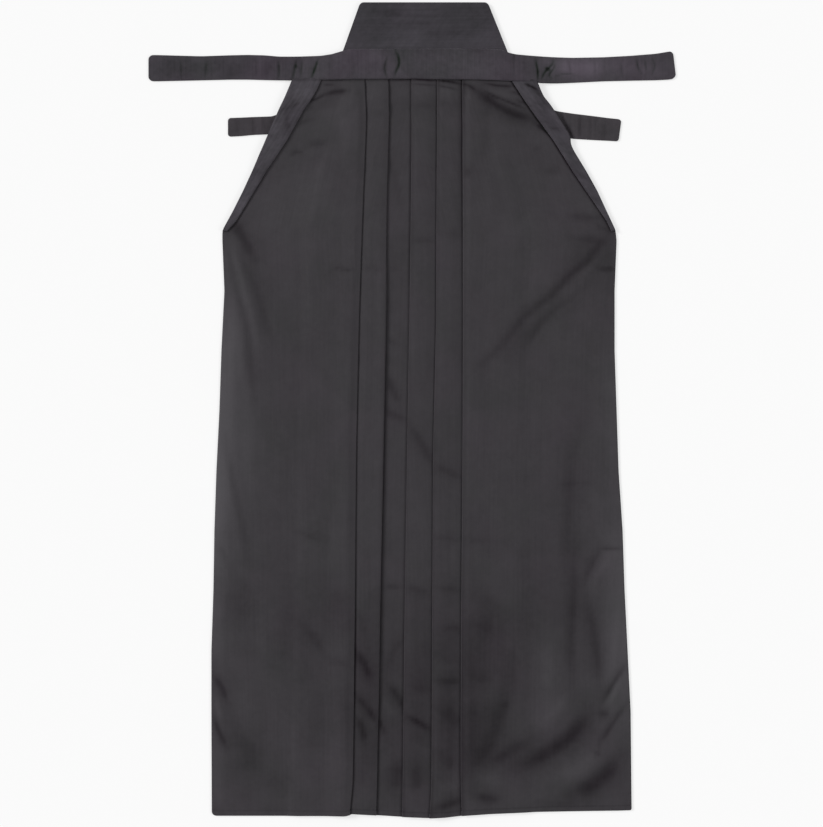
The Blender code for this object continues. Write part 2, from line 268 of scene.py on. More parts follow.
def add_node(made, kind, sockets, **settings):
    """Adds a node to a material."""
    node = made.node_tree.nodes.new(kind)
    for setting, value in settings.items():
        setattr(node, setting, value)
    set_sockets(made, node, sockets)
    return node


def twill(name, colour, mottle=0.165, patch_and_shade_hue=(0.0075, 0.0025, 0.007), hue_per_painted_shade=-0.5, wale=0.85):
    """Charcoal twill: fine slanting wales over the warp, faint streaks along the warp, and soft
    cloudy patches. The shade attribute is painted shade and painted light: it darkens creases,
    crevices and seams where shade falls, and lightens edges and slopes where light falls. The hue
    given is the hue that the black dye shows in patches and that the painted shade takes on; the
    factor after it sets how much of that hue each step of painted shade or painted light adds."""
    made, shader = new_finish(name, {
        "Specular IOR Level": 0.18, "Sheen Weight": 0.25, "Sheen Roughness": 0.45,
        "Sheen Tint": (0.92, 0.88, 0.96, 1),
    })

    def add(kind, sockets, **settings):
        """The outputs of a new node of this twill"""
        return add_node(made, kind, sockets, **settings).outputs

    def sum_of(a, b, factor):
        """a + b * factor"""
        return add("ShaderNodeMath", {0: b, 1: factor, 2: a}, operation="MULTIPLY_ADD")[0]

    def centred(source):
        """A texture's value less its middle"""
        return add("ShaderNodeMath", {0: source, 1: 0.5}, operation="SUBTRACT")[0]

    def bands(direction, pitch):
        """Ridges of the weave at a pitch in millimetres. The texture's own wave turns by 20
        radians for each unit across, and by 14.14 on a diagonal."""
        own_turns = 14.14 if direction == "DIAGONAL" else 20
        return add("ShaderNodeTexWave", {
            "Vector": pattern, "Scale": 2 * math.pi / (pitch * MM) / own_turns,
            "Distortion": 0.6, "Detail": 1.0, "Detail Scale": 0.4,
        }, wave_type="BANDS", bands_direction=direction)["Fac"]

    def clouds(size, detail=2.0, stretch=None):
        """Soft noise whose patches are size millimetres across"""
        source = pattern
        if stretch:
            source = add("ShaderNodeMapping", {"Vector": pattern, "Scale": (*stretch, 1)})["Vector"]
        sockets = {"Vector": source, "Scale": 1 / (size * MM), "Detail": detail}
        return add("ShaderNodeTexNoise", sockets)["Fac"]

    pattern = add("ShaderNodeUVMap", {}, uv_map="pattern")["UV"]
    tone = add("ShaderNodeAttribute", {}, attribute_name="shade")["Fac"]
    wales, yarns = bands("DIAGONAL", wale), bands("X", wale / 2)
    patches, spots, flecks = clouds(55, 4.0), clouds(19), clouds(6)
    streaks = clouds(3.0, 1.0, stretch=(1, 0.025))
    # The colour's brightness starts from the painted shade and painted light of the shade attribute
    light = add("ShaderNodeMath", {0: tone, 1: 1.0}, operation="ADD")[0]
    for source, weight in (
        (patches, 2.6 * mottle), (spots, 1.5 * mottle), (flecks, 1.3 * mottle),
        (streaks, 1.2 * mottle), (wales, 0.10),
    ):
        light = sum_of(light, centred(source), weight)
    paint = add("ShaderNodeVectorMath", {0: colour, "Scale": light}, operation="SCALE")[0]
    # Random hue patches of the dye, plus the same hue tied to the painted shade and painted light
    hue_patches_and_painted_shade = sum_of(centred(clouds(80, 1.0)), tone, hue_per_painted_shade)
    colour_with_painted_shade = add("ShaderNodeVectorMath", {0: hue_patches_and_painted_shade, 1: patch_and_shade_hue, 2: paint}, operation="MULTIPLY_ADD")[0]
    rough = add("ShaderNodeMapRange", {"Value": patches, "To Min": 0.62, "To Max": 0.86})[0]
    weave = sum_of(sum_of(wales, yarns, 0.5), streaks, 0.8)
    fine = add("ShaderNodeBump", {"Height": weave, "Strength": 0.35, "Distance": 0.12 * MM})[0]
    coarse = add("ShaderNodeBump", {
        "Height": clouds(16, 2.0), "Normal": fine, "Strength": 0.5, "Distance": 0.5 * MM,
    })[0]
    set_sockets(made, shader, {"Base Color": colour_with_painted_shade, "Roughness": rough, "Normal": coarse})
    return made


def dress(piece, cloth, slot, *nodes):
    """Gives a piece its cloth, and puts it in the place of its solids."""
    piece.data.materials.clear()
    piece.data.materials.append(cloth)
    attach(piece, "root")
    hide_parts(*nodes)


board_y = spaced(BOARD_FOOT_Y, BOARD_HEAD_Y, BOARD_PITCH)
rise_up = (board_y - BOARD_FOOT_Y) / (BOARD_HEAD_Y - BOARD_FOOT_Y)
board_left = BOARD_FOOT_SPAN[0] + (BOARD_HEAD_SPAN[0] - BOARD_FOOT_SPAN[0]) * rise_up
board_right = BOARD_FOOT_SPAN[1] + (BOARD_HEAD_SPAN[1] - BOARD_FOOT_SPAN[1]) * rise_up
board = flat_tube(
    "back_board_cloth", board_y, board_left, board_right, 0, BOARD_THICK,
    lambda u, v: crease_field(v, u, BOARD_CREASES_AND_SHADE), across_x=True, corner=BOARD_CORNER,
    end_round=BOARD_EDGE_ROUND, crisp=40.0, around=60,
)
board_twill = twill("board_twill", (0.0325, 0.0295, 0.0355), mottle=0.36)
dress(board, board_twill, "board_cloth", "back_board")


# Back band (ushiro-himo): one long strip along the foot of the board. It is folded in four and
# pressed flat, and its two free ends are the lower pair of ties.
BACK_BAND_THICK = 2.2
BACK_BAND_PITCH = 1.8
BACK_BAND_LEAN = (0, 0.13)
BACK_BAND_EDGES = np.array((
    # x, low, high
    (-238.6, 355.0, 379.4),
    (-222, 355.8, 380.0),
    (-205, 357.4, 380.8),
    (-180, 358.4, 381.6),
    (-165, 362.0, 389.0),
    (-150, 368.5, 401.5),
    (-130, 376.5, 409.5),
    (-112, 380.5, 413.5),
    (0, 380.5, 413.7),
    (138, 380.5, 413.5),
    (155, 373.0, 406.0),
    (172, 363.5, 396.0),
    (188, 356.5, 388.5),
    (209, 352.3, 385.3),
    (240, 350.5, 381.5),
    (255, 349.8, 379.5),
    (271, 349.0, 377.7),
))
# The shade column is painted shade. The darkest row is a painted shadow where the right tie comes out
# from under the front
BACK_TIE_CREASES = (
    # rise, half width, shade, line
    (-0.5, 4, -0.12, ((-226, 383), (-225, 356))),
    (-0.6, 5, -0.25, ((-206, 387), (-204, 356))),
    (-0.5, 4, -0.20, ((-194, 388), (-190, 360))),
    (-0.9, 4, -0.80, ((193, 389), (199, 374), (206, 362), (209, 350))),
    (-0.6, 4, -0.30, ((220, 384), (219, 366), (220, 352))),
    (-0.5, 4, -0.24, ((230, 383), (233, 368), (231, 352))),
    (-0.5, 4, -0.20, ((241, 382), (239, 366))),
    (-0.4, 5, -0.20, ((252, 374), (250, 352))),
)


def eased(places, edges, rounding=4):
    """A band's low and high edge at the given places, with their turns rounded off."""
    both = []
    for column in (1, 2):
        edge = np.interp(places, edges[:, 0], edges[:, column])
        for _ in range(rounding):
            padded = np.pad(edge, 1, mode="reflect", reflect_type="odd")
            edge = (padded[:-2] + 2 * edge + padded[2:]) / 4
        both.append(edge)
    return both


back_x = spaced(BACK_BAND_EDGES[0, 0], BACK_BAND_EDGES[-1, 0], BACK_BAND_PITCH)
back_band = flat_tube(
    "back_band_cloth", back_x, *eased(back_x, BACK_BAND_EDGES), 0, BACK_BAND_THICK,
    lambda u, v: crease_field(u, v, BACK_TIE_CREASES, halo=1.5), corner=4.0, around=18,
    lean=BACK_BAND_LEAN,
)
back_band_twill = twill("back_band_twill", (0.0375, 0.0333, 0.038), mottle=0.3)
dress(back_band, back_band_twill, "band_cloth", "back_band")


# Backs of the legs: one plain length of twill each, laid on the floor. Each has one knife pleat
# folded under, and they meet in a seam down the middle. They start just below the back band.
# The plies lie as in the solids, a millimetre thick with a gap, and the cloth itself is thinner
CLOTH = 1.0
SEAM_GAP = 0.3
PLY = CLOTH + SEAM_GAP
THIN = 0.6
CREVICE_HALF = 0.7
FOLD_REACH = (PLY + THIN) / 2
HEM_THIN = 1.0
HEM_GROOVE_HALF = 0.2
HEM_GROOVE_THIN = 0.3
FLOOR_GAP = 0.03
BACK_FALL = 0.008
CLEAR_OF_FOLD = 4.0
NEAR_FLOOR = 0.4
WAIST_Y = 429.0
BACK_TOP_Y = 380.0
OPENING_FOOT_Y = 231.0
HEM_Y = -527.0
HEM_FLARE_Y = -400.0
HEM_DEPTH = 6.6
HEM_CORNERS = dict(left=6.0, right=2.5)
WAIST_BEND_Y = 400.0
WAIST_TUCK = 2.5
PLEAT_DEPTH_WAIST = 12.0
PLEAT_DEPTH_HEM = 24.0
PLEAT_ROUNDING = 45.0
SIDE_ROUNDING = 6.0
# Sides, slanting edges of the openings and fold edges, x at heights from the waist to the hem
SIDES = dict(
    y=(429, 407, 392, 355, 345, 336, 311, 285, 259, 233, 220, 155, 77, -1, -79, -157, -235, -313,
       -391, -527),
    left=(-154.5, -164, -171.5, -187.6, -191.8, -195.8, -206.5, -218.5, -231.5, -245.7, -245.7,
          -243.1, -247, -249.6, -253.5, -256.1, -257.4, -260, -260, -259.5),
    right=(163, 172, 183.5, 206.5, 206.8, 211, 226.5, 241, 253, 265.2, 266.5, 263.9, 263.9, 266.5,
           269.1, 274.3, 276.9, 280.8, 284.7, 286),
)
TURNS = dict(
    y=(429, 410, 400, 389, 350, 311, 272, 246, 231, 205, 155, -527),
    left=(-116.5, -126, -132.5, -141, -162.5, -188.5, -212, -228, -241.5, -235, -231, -246),
    right=(129.5, 142, 148.5, 156.5, 185, 209.5, 236, 254, 261, 255, 251, 272),
)
BACK_SIDES = dict(y=(380, 231), left=(-106, -245.7), right=(132, 265.3))
PLEATS = dict(
    y=(429, 379, 272, 116, -53, -274, -495, -527),
    a=(-60.5, -57.6, -62.3, -67.6, -71.1, -72.9, -75.5, -80.6),
    b=(-29.3, -28.5, -31.5, -33.2, -36.4, -41.1, -44.2, -45.5),
    c=(-1.0, -0.5, -1.4, -3.5, -6.4, -9.8, -12.2, -13.0),
    d=(32.5, 32.4, 31.7, 31.2, 27.3, 26.1, 25.1, 22.1),
    e=(64.9, 65.5, 66.2, 66.4, 65.9, 64.0, 63.1, 65.0),
)
WAIST_LINE = dict(
    x=(-154, -118, -59, 0, 37, 91, 132, 159, 168),
    y=(428, 428.6, 429.1, 430, 429.1, 428.6, 427, 426.4, 423),
)
HEM_LINE = dict(
    x=(-260, -86, -77, -40, -8, 25, 44, 64, 103, 160, 286),
    y=(-527.2, -527.2, -524.6, -526.5, -528.5, -529.8, -529.1, -527.2, -524.6, -522, -520),
)
# Shared lines down the garment, from left to right, and the columns of points up to the next one.
# Every ply has its points on them, so plies that lie on each other keep their distance.
LINES = dict(
    side_l=9, turn_l=44, a_in=7, a=7, b_in=6, b=6, mid=6, c=6, c_in=7, d=6, d_in=7, e=7, e_in=44,
    turn_r=9, side_r=0,
)
AT = dict(zip(LINES, np.concatenate([[0], np.cumsum(list(LINES.values()))]).tolist()))
# Columns where the cloth of a back turns under and out again in its hidden pleat
BACK_PLEAT = (AT["turn_l"] + 34, AT["turn_l"] + 39)
PANEL_CLOSING = 1.3
# Heights of the rows of points, closest together in the turned hem
ROWS = np.concatenate([
    np.linspace(WAIST_Y, 414, 16), np.linspace(412, 382, 13), np.linspace(379, -511, 262),
    (-514, -516.5, -518.5, -519.7, HEM_Y + HEM_DEPTH, -521.1, -522.2, -523.7, -525, -525.9,
     -526.6, HEM_Y),
])
STITCH_LENGTH = 1.9
STITCH_THICK = 0.5
STITCH_SLANT = math.radians(28)
STRAND_SIZE = 0.4
SEEN_FROM = 50.0
HEM_PITCH = 11.0
BACK_CREASES = (
    # rise, half width, shade, line
    (0.9, 12, -0.2, ((-228, 150), (-212, 60), (-204, -30))),
    (0.8, 10, -0.2, ((-240, 190), (-214, 120), (-180, 60))),
    (0.9, 12, -0.2, ((250, 200), (200, 140), (150, 90), (110, 40))),
    (0.8, 14, -0.2, ((246, -380), (190, -430), (130, -470))),
    (0.7, 12, -0.2, ((-120, -300), (-90, -380), (-84, -450))),
    (0.6, 12, -0.15, ((120, 300), (90, 240), (60, 200))),
    (0.6, 14, -0.15, ((-150, 320), (-110, 280))),
    (0.6, 16, -0.15, ((210, -120), (206, -220), (212, -300))),
    (0.6, 14, -0.15, ((-200, -220), (-196, -330), (-210, -420))),
)


def along(table, column, y, rounding=0.0):
    """A table's column at the heights y; the tables run from the waist down. rounding is how far
    its turns are rounded off."""
    heights, values = table["y"][::-1], table[column][::-1]
    if not rounding:
        return np.interp(y, heights, values)
    shifts = np.linspace(-rounding, rounding, 13)
    weights = 1 + np.cos(np.pi * shifts / rounding)
    shifted = [weight * (np.interp(y + s, heights, values) + np.interp(y - s, heights, values)) / 2
               for s, weight in zip(shifts, weights)]
    return np.sum(shifted, axis=0) / weights.sum()


def hem_corner(side):
    """How far a rounded corner draws in the side in every row."""
    radius = HEM_CORNERS[side]
    below = np.clip(HEM_Y + radius - ROWS, 0, radius)
    return radius - np.sqrt(radius**2 - below**2)


def line_places():
    """x of every shared column in every row, closer together towards the fold edges."""
    down = (WAIST_Y - ROWS) / (WAIST_Y - HEM_Y)
    depth = PLEAT_DEPTH_WAIST + (PLEAT_DEPTH_HEM - PLEAT_DEPTH_WAIST) * down
    x = {}
    for pleat, inward in (("a", -1), ("b", -1), ("c", 1), ("d", 1), ("e", 1)):
        x[pleat] = along(PLEATS, pleat, ROWS, PLEAT_ROUNDING) + inward * (FOLD_REACH + CREVICE_HALF)
        x[pleat + "_in"] = x[pleat] + inward * depth
    x["mid"] = (x["b"] + x["c"]) / 2
    for side, suffix, inward in (("left", "_l", 1), ("right", "_r", -1)):
        x["side" + suffix] = along(SIDES, side, ROWS, SIDE_ROUNDING) + inward * hem_corner(side)
        x["turn" + suffix] = along(TURNS, side, ROWS)
    columns = []
    names = list(LINES)
    for name, after in zip(names, names[1:]):
        part = np.arange(LINES[name]) / LINES[name]
        if name == "turn_l":
            part = part**PANEL_CLOSING
        elif name == "e_in":
            part = 1 - (1 - part) ** PANEL_CLOSING
        elif name in ("a", "c_in", "d_in"):
            part = (1 - np.cos(np.pi * part)) / 2
        elif name == "b":
            part = 1 - np.cos(np.pi / 2 * part)
        elif name == "mid":
            part = np.sin(np.pi / 2 * part)
        for share in part:
            columns.append(x[name] + (x[after] - x[name]) * share)
    columns.append(x[names[-1]])
    return np.stack(columns, axis=1)


def row_places(x):
    """y of every point: the rows, bent to the waist line and into the band at the top, and to the
    hem line below."""
    y = np.repeat(ROWS[:, None], x.shape[1], axis=1)
    near_waist = np.clip((y - WAIST_BEND_Y) / (WAIST_Y - WAIST_BEND_Y), 0, 1)
    near_hem = np.clip((HEM_FLARE_Y - y) / (HEM_FLARE_Y - HEM_Y), 0, 1)
    waist = np.interp(x, WAIST_LINE["x"], WAIST_LINE["y"]) + WAIST_TUCK - WAIST_Y
    return y + near_waist * waist + near_hem * (np.interp(x, HEM_LINE["x"], HEM_LINE["y"]) - HEM_Y)


X = line_places()
Y = row_places(X)
FOLD_TURNS = np.linspace(0, math.pi, 7)[1:-1]


def fold(runs):
    """Joins runs of cloth by a half-round fold at each turn. A run is points and their shade."""
    points, tones = [runs[0][0]], [runs[0][1]]
    for (before, tone_before), (after, tone_after) in zip(runs, runs[1:]):
        start, end = before[:, -1], after[:, 0]
        heading = np.sign(start[:, 0] - before[:, -2, 0])
        radius = (start[:, 2] - end[:, 2]) / 2
        for turn in FOLD_TURNS:
            place = (start + end) / 2
            place[:, 0] = start[:, 0] + heading * np.abs(radius) * math.sin(turn)
            place[:, 2] += radius * math.cos(turn)
            points.append(place[:, None])
            tones.append(((tone_before[:, -1] + tone_after[:, 0]) / 2)[:, None])
        points.append(after)
        tones.append(tone_after)
    return np.concatenate(points, axis=1), np.concatenate(tones, axis=1)


def sewn(name, points, tones, hem=True, rows=slice(None), faces_right=True):
    """A ply of cloth through its points, with a real thickness and a turned-up hem, which is
    thicker and has a fine groove where its stitches pull it in."""
    points, tones = points[rows][::-1], tones[rows][::-1]
    heights = ROWS[rows][::-1]
    if not faces_right:
        points, tones = points[:, ::-1], tones[:, ::-1]
    steps = np.linalg.norm(np.diff(points, axis=1, prepend=points[:, :1]), axis=2)
    width = np.cumsum(steps, axis=1)
    flat = np.stack([width - width[:, -1:] / 2, points[:, :, 1]], axis=2)
    piece = grid_piece(name, points, tones, flat)
    thickness = np.full(len(heights), THIN / HEM_THIN)
    if hem:
        above = heights - HEM_Y
        thickness = np.where(above < HEM_DEPTH - HEM_GROOVE_HALF, 1.0, thickness)
        at_groove = np.abs(above - HEM_DEPTH) < HEM_GROOVE_HALF
        thickness = np.where(at_groove, HEM_GROOVE_THIN, thickness)
    group = piece.vertex_groups.new(name="thickness")
    columns = points.shape[1]
    for row, weight in enumerate(thickness):
        group.add(range(row * columns, (row + 1) * columns), float(weight), "REPLACE")
    wall = piece.modifiers.new("wall", "SOLIDIFY")
    wall.thickness = HEM_THIN * MM
    wall.offset = 0
    wall.vertex_group = "thickness"
    wall.use_quality_normals = True
    return piece


def ply(x, z, tone=0.0):
    """The points and shade of one laid stretch of cloth."""
    tones = np.broadcast_to(np.asarray(tone, float), x.shape)
    return np.stack([x, row_places(x), np.broadcast_to(z, x.shape)], axis=2), tones


def stitched(name, cloth, line, pitch, proud, from_above=True):
    """Short slanting stitches of one charcoal thread along a line, in millimetres, on the upper
    or the lower face of a piece. proud is how far their middles stand off its mesh, which is
    the middle of the cloth where a wall is still to come."""
    line = np.array(line, float)
    _, before = lengths(line)
    stops = np.arange(pitch / 2, before[-1], pitch)
    x, y = (np.interp(stops, before, line[:, axis]) for axis in (0, 1))
    heading = np.arctan2(np.gradient(y), np.gradient(x)) + STITCH_SLANT
    cloth_mesh = bmesh.new()
    cloth_mesh.from_mesh(cloth.data)
    surface = BVHTree.FromBMesh(cloth_mesh)
    cloth_mesh.free()
    down = Vector((0, 0, -1 if from_above else 1))
    size = Matrix.Diagonal((STITCH_LENGTH / 2 * MM, STITCH_THICK / 2 * MM, STITCH_THICK / 3 * MM, 1))
    bm = bmesh.new()
    for place, turn in zip(zip(x * MM, y * MM), heading):
        hit = surface.ray_cast(Vector((*place, 0)) - down * (SEEN_FROM * MM), down)[0]
        if hit is None:
            continue
        at = Matrix.Translation(hit - down * proud * MM)
        bmesh.ops.create_icosphere(
            bm, subdivisions=1, radius=1.0, matrix=at @ Matrix.Rotation(turn, 4, "Z") @ size)
    row = new_piece(name, bm)
    row.data.materials.append(thread)
    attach(row, "root")
    return row


def hem_run(first_x, last_x):
    """The line of the hem's stitches between two places across the garment."""
    across = np.linspace(first_x, last_x, 60)
    return [(x, np.interp(x, HEM_LINE["x"], HEM_LINE["y"]) + HEM_DEPTH) for x in across]


thread, thread_shader = new_finish("thread", {"Roughness": 0.6, "Specular IOR Level": 0.25})
thread_place = add_node(thread, "ShaderNodeTexCoord", {}).outputs["Object"]
strands = add_node(
    thread, "ShaderNodeTexNoise", {"Vector": thread_place, "Scale": 1 / (STRAND_SIZE * MM)})
thread_tone = add_node(thread, "ShaderNodeValToRGB", {"Fac": strands.outputs["Fac"]})
thread_tone.color_ramp.elements[0].color = (0.014, 0.012, 0.016, 1)
thread_tone.color_ramp.elements[1].color = (0.036, 0.032, 0.039, 1)
set_sockets(thread, thread_shader, {"Base Color": thread_tone.outputs["Color"]})
pile = np.full(X.shape, CLOTH)
body_twill = twill("body_twill", (0.0335, 0.0305, 0.0345))
back_rows = ROWS <= BACK_TOP_Y
hem_near = np.clip((HEM_Y + 2 * HEM_DEPTH - ROWS) / HEM_DEPTH, 0, 1)[:, None]
floor_z = THIN / 2 + FLOOR_GAP + (HEM_THIN - THIN) / 2 * hem_near
for name, sign, side, flat, area, hem_ends in (
    ("back_left", -1, "left", (0.277, 0.907), 0.238, (-254, -32)),
    ("back_right", 1, "right", (0.370, 0.907), 0.302, (-26, 280)),
):
    edge = np.where(ROWS >= OPENING_FOOT_Y, along(BACK_SIDES, side, ROWS), along(SIDES, side, ROWS))
    edge = edge - sign * hem_corner(side)
    inner_columns = list(range(BACK_PLEAT[0], AT["mid"] + 1))
    if sign > 0:
        inner_columns = list(range(AT["side_r"] - BACK_PLEAT[0], AT["mid"] - 1, -1))
    turn_count = BACK_PLEAT[1] - BACK_PLEAT[0]
    inner_x = X[:, inner_columns].copy()
    inner_x[:, -1] = X[:, AT["mid"]] + sign * SEAM_GAP / 2
    hidden, turned = inner_x[:, 0], inner_x[:, turn_count]
    outer_x = edge[:, None] + (hidden - edge)[:, None] * np.linspace(0, 1, 28)
    outer_x = np.concatenate([outer_x, inner_x[:, 1 : turn_count + 1]], axis=1)
    turned_x = inner_x[:, turn_count::-1]
    past = np.maximum(-sign * (inner_x - turned[:, None]), 0)
    height = np.maximum(floor_z + 2 * PLY - BACK_FALL * past**2, floor_z)
    span = slice(min(inner_columns), max(inner_columns) + 1)
    lifted = height if sign < 0 else height[:, ::-1]
    pile[:, span] = np.maximum(pile[:, span], lifted + CLOTH / 2)
    outer_rise, outer_tone = crease_field(outer_x, row_places(outer_x), BACK_CREASES)
    _, inner_tone = crease_field(inner_x, row_places(inner_x), BACK_CREASES)
    on_floor = height < floor_z + NEAR_FLOOR
    clear = sign * (outer_x - hidden[:, None]) > CLEAR_OF_FOLD
    points, tones = fold([
        ply(outer_x, floor_z + outer_rise * clear, outer_tone),
        ply(turned_x, floor_z + PLY),
        ply(inner_x, height, inner_tone * on_floor),
    ])
    back = sewn(name + "_cloth", points, tones, rows=back_rows, faces_right=sign < 0)
    dress(back, body_twill, "body_cloth", name)
    stitches = stitched(
        name + "_stitches", back, hem_run(*hem_ends), HEM_PITCH, 0.1, from_above=False)


# Gussets (machi): a narrow tapered piece inside each leg, from the crotch to the hem. They lie
# hidden between the back and the front, beside the middle.
CROTCH_Y = 30.0
GUSSET_TOP_WIDTH = 4.0
GUSSET_HEM_WIDTH = 36.0
PILE_MARGIN = 20.0
gusset_rows = ROWS <= CROTCH_Y
gusset_down = np.clip((CROTCH_Y - ROWS) / (CROTCH_Y - HEM_Y), 0, 1)
gusset_width = GUSSET_TOP_WIDTH + (GUSSET_HEM_WIDTH - GUSSET_TOP_WIDTH) * gusset_down
for name, sign in (("gusset_left", -1), ("gusset_right", 1)):
    middle = X[:, AT["mid"]]
    out = SEAM_GAP / 2 + np.linspace(0, 1, 9)[None, :] * gusset_width[:, None]
    points, tones = ply(middle[:, None] + sign * out, PLY + CLOTH / 2)
    gusset = sewn(name + "_cloth", points, tones, rows=gusset_rows, faces_right=sign > 0)
    dress(gusset, body_twill, "body_cloth", name)
covered = ROWS <= CROTCH_Y + PILE_MARGIN
under_pleats = slice(AT["b_in"], AT["d"] + 1)
pile[covered, under_pleats] = np.maximum(pile[covered, under_pleats], PLY + CLOTH)


# Fronts of the legs: two lengths of twill, each with a broad side panel and knife pleats pressed
# into it, laid from the lowest ply up. Pleats a and b face right; c, d and e face left.
# How the cloth falls, rises and is held at the waist and the hem
FALL = 0.009
PANEL_LOFT = 2.2
STRIP_LOFT = 0.9
CREASE_DEPTH = 1.7
WAVE_HEIGHT = 0.27
BACK_TIE_LOW_Y = 349.0
WAIST_CORE = 6.6
WAIST_PINCH = 0.55
WAIST_PINCH_REACH = 14.0
WAIST_FREE = 24.0
HEM_FREE = 16.0
HELD_SHARE = 0.2
WAVES_AT_MOST = 1.5
ROUND_OFF = 0.2
OPEN_REACH = 60.0
# Painted shade beside the band, in the groove of the hem's stitches and in the crevices beside fold
# edges
BAND_SHADE = 0.45
BAND_SHADE_FOOT = 3.4
BAND_SHADE_REACH = 2.4
HEM_SHADE = 0.22
HEM_SHADE_REACH = 1.3
FOLD_EDGE = 0.95
CREVICE_REACH = 2.3
CREVICE_LEAST = 0.7
CREVICE_GROWTH = 0.75
CREVICE_FULL = 1.15
OVER_REACH = 3.0
DARKNESS_ROUNDING = 20.0
# In the fronts' tables the shade column is painted shade below 0 and painted light above 0. Rows with
# no rise paint it alone: lighter bands along the side edges where the cloth rolls down and catches the
# light, and broad darker areas where shade falls.
LEFT_PANEL_CREASES = (
    # rise, half width, shade, line
    (0, 30, 0.24, ((-221, 210), (-218, 103), (-216, -14), (-214, -144))),
    (0, 24, 0.16, ((-218, -14), (-212, -79), (-212, -138))),
    (0, 26, 0.1, ((-222, -157), (-225, -235))),
    (0, 18, -0.07, ((-144, 259), (-144, 103), (-146, -196))),
    (0, 45, 0.07, ((-181, 305), (-170, 227))),
    (0, 22, 0.34, ((-235, 155), (-238, 12), (-243, -118), (-247, -196))),
    (0, 60, -0.1, ((-144, -287), (-144, -430))),
    (0, 16, 0.16, ((-254, -235), (-252, -326))),
    (0, 30, -0.2, ((-100, -235), (-90, -300))),
    (0, 22, -0.16, ((-98, -352), (-84, -398))),
    (0, 12, -0.1, ((-79, -248), (-81, -365), (-84, -495))),
    (0, 22, 0.12, ((-228, -300), (-220, -378), (-222, -409))),
    (0, 34, -0.16, ((-225, -417), (-207, -476))),
    (0, 45, -0.12, ((-162, -248), (-144, -326))),
    (0, 50, -0.12, ((-100, -365), (-116, -456))),
    (0, 36, 0.1, ((-176, -378), (-157, -430))),
    (0, 26, 0.1, ((-105, 402), (-92, 363))),
    (0, 24, 0.5, ((-259, 213), (-256, 103), (-259, -14), (-259, -118), (-259, -190))),
    (0, 60, 0.14, ((-194, 337), (-144, 285), (-92, 246))),
    (0, 45, 0.12, ((-144, 402), (-86, 389))),
    (0, 30, -0.1, ((-222, -222), (-209, -281))),
    (0, 30, -0.08, ((-105, -196), (-105, -300))),
    (0, 30, -0.1, ((-194, -469), (-144, -501))),
    (-0.7, 3.5, -0.75, ((-134, 400), (-124, 403), (-112, 409))),
    (-1.3, 5.5, -0.85, ((-112, 409), (-101, 412), (-81, 414))),
    (-0.5, 3, -0.5, ((-114, 422), (-99, 422))),
    (-0.8, 5, -0.34, ((-135, 343), (-124, 345), (-109, 346))),
    (-0.7, 4.5, -0.4, ((-157, 331), (-148, 335), (-139, 332))),
    (-0.6, 6, -0.24, ((-147, 369), (-136, 375), (-124, 378))),
    (0, 16, -0.1, ((-162, 324), (-186, 291))),
    (-2, 12, -0.52, ((-234, 250), (-220, 228), (-200, 196))),
    (0, 14, -0.2, ((-238, 244), (-222, 231))),
    (-1.4, 11, -0.22, ((-235, 226), (-228, 168), (-212, 109), (-207, 49), (-200, 8))),
    (-1.4, 11, -0.26, ((-228, 215), (-213, 184), (-198, 150), (-186, 109), (-177, 84))),
    (1.2, 10, 0.12, ((-234, 220), (-221, 175), (-204, 116), (-194, 62))),
    (-1.2, 11, -0.22, ((-240, -34), (-230, -92), (-218, -150), (-212, -196))),
    (-0.8, 7, -0.14, ((-252, -174), (-244, -185), (-237, -198))),
    (-0.4, 18, -0.08, ((-213, -209), (-214, -248), (-218, -287))),
    (0, 40, -0.12, ((-168, -209), (-144, -300))),
    (0.5, 14, 0.1, ((-191, -248), (-191, -287), (-188, -328))),
    (-0.5, 6, -0.18, ((-147, -158), (-131, -164), (-110, -171))),
    (-0.5, 8, -0.2, ((-110, -326), (-92, -328), (-77, -336))),
    (-0.6, 9, -0.2, ((-136, -281), (-124, -297), (-110, -320))),
    (-0.5, 12, -0.12, ((-130, -284), (-116, -313))),
    (-0.5, 14, -0.1, ((-110, -235), (-70, -253))),
    (0.6, 12, 0.1, ((-108, -432), (-82, -432))),
    (-1.2, 7, -0.62, ((-259, -345), (-248, -357), (-238, -380))),
    (-1.2, 6, -0.6, ((-257, -400), (-250, -417), (-239, -439))),
    (1, 7, 0.22, ((-256, -370), (-250, -388), (-246, -406))),
    (-0.9, 20, -0.14, ((-233, -396), (-214, -432), (-194, -466))),
    (0, 17, 0.62, ((-251, 192), (-254, 64), (-256, -79), (-257, -196), (-259, -313))),
    (0, 13, 0.18, ((-256, -430), (-256, -508))),
    (-0.6, 4.5, -0.34, ((-104, 181), (-96, 184), (-87, 181), (-74, 181))),
    (0, 34, 0.06, ((-194, 266), (-176, 227))),
    (0, 60, 0.05, ((-157, 298), (-144, 103))),
)
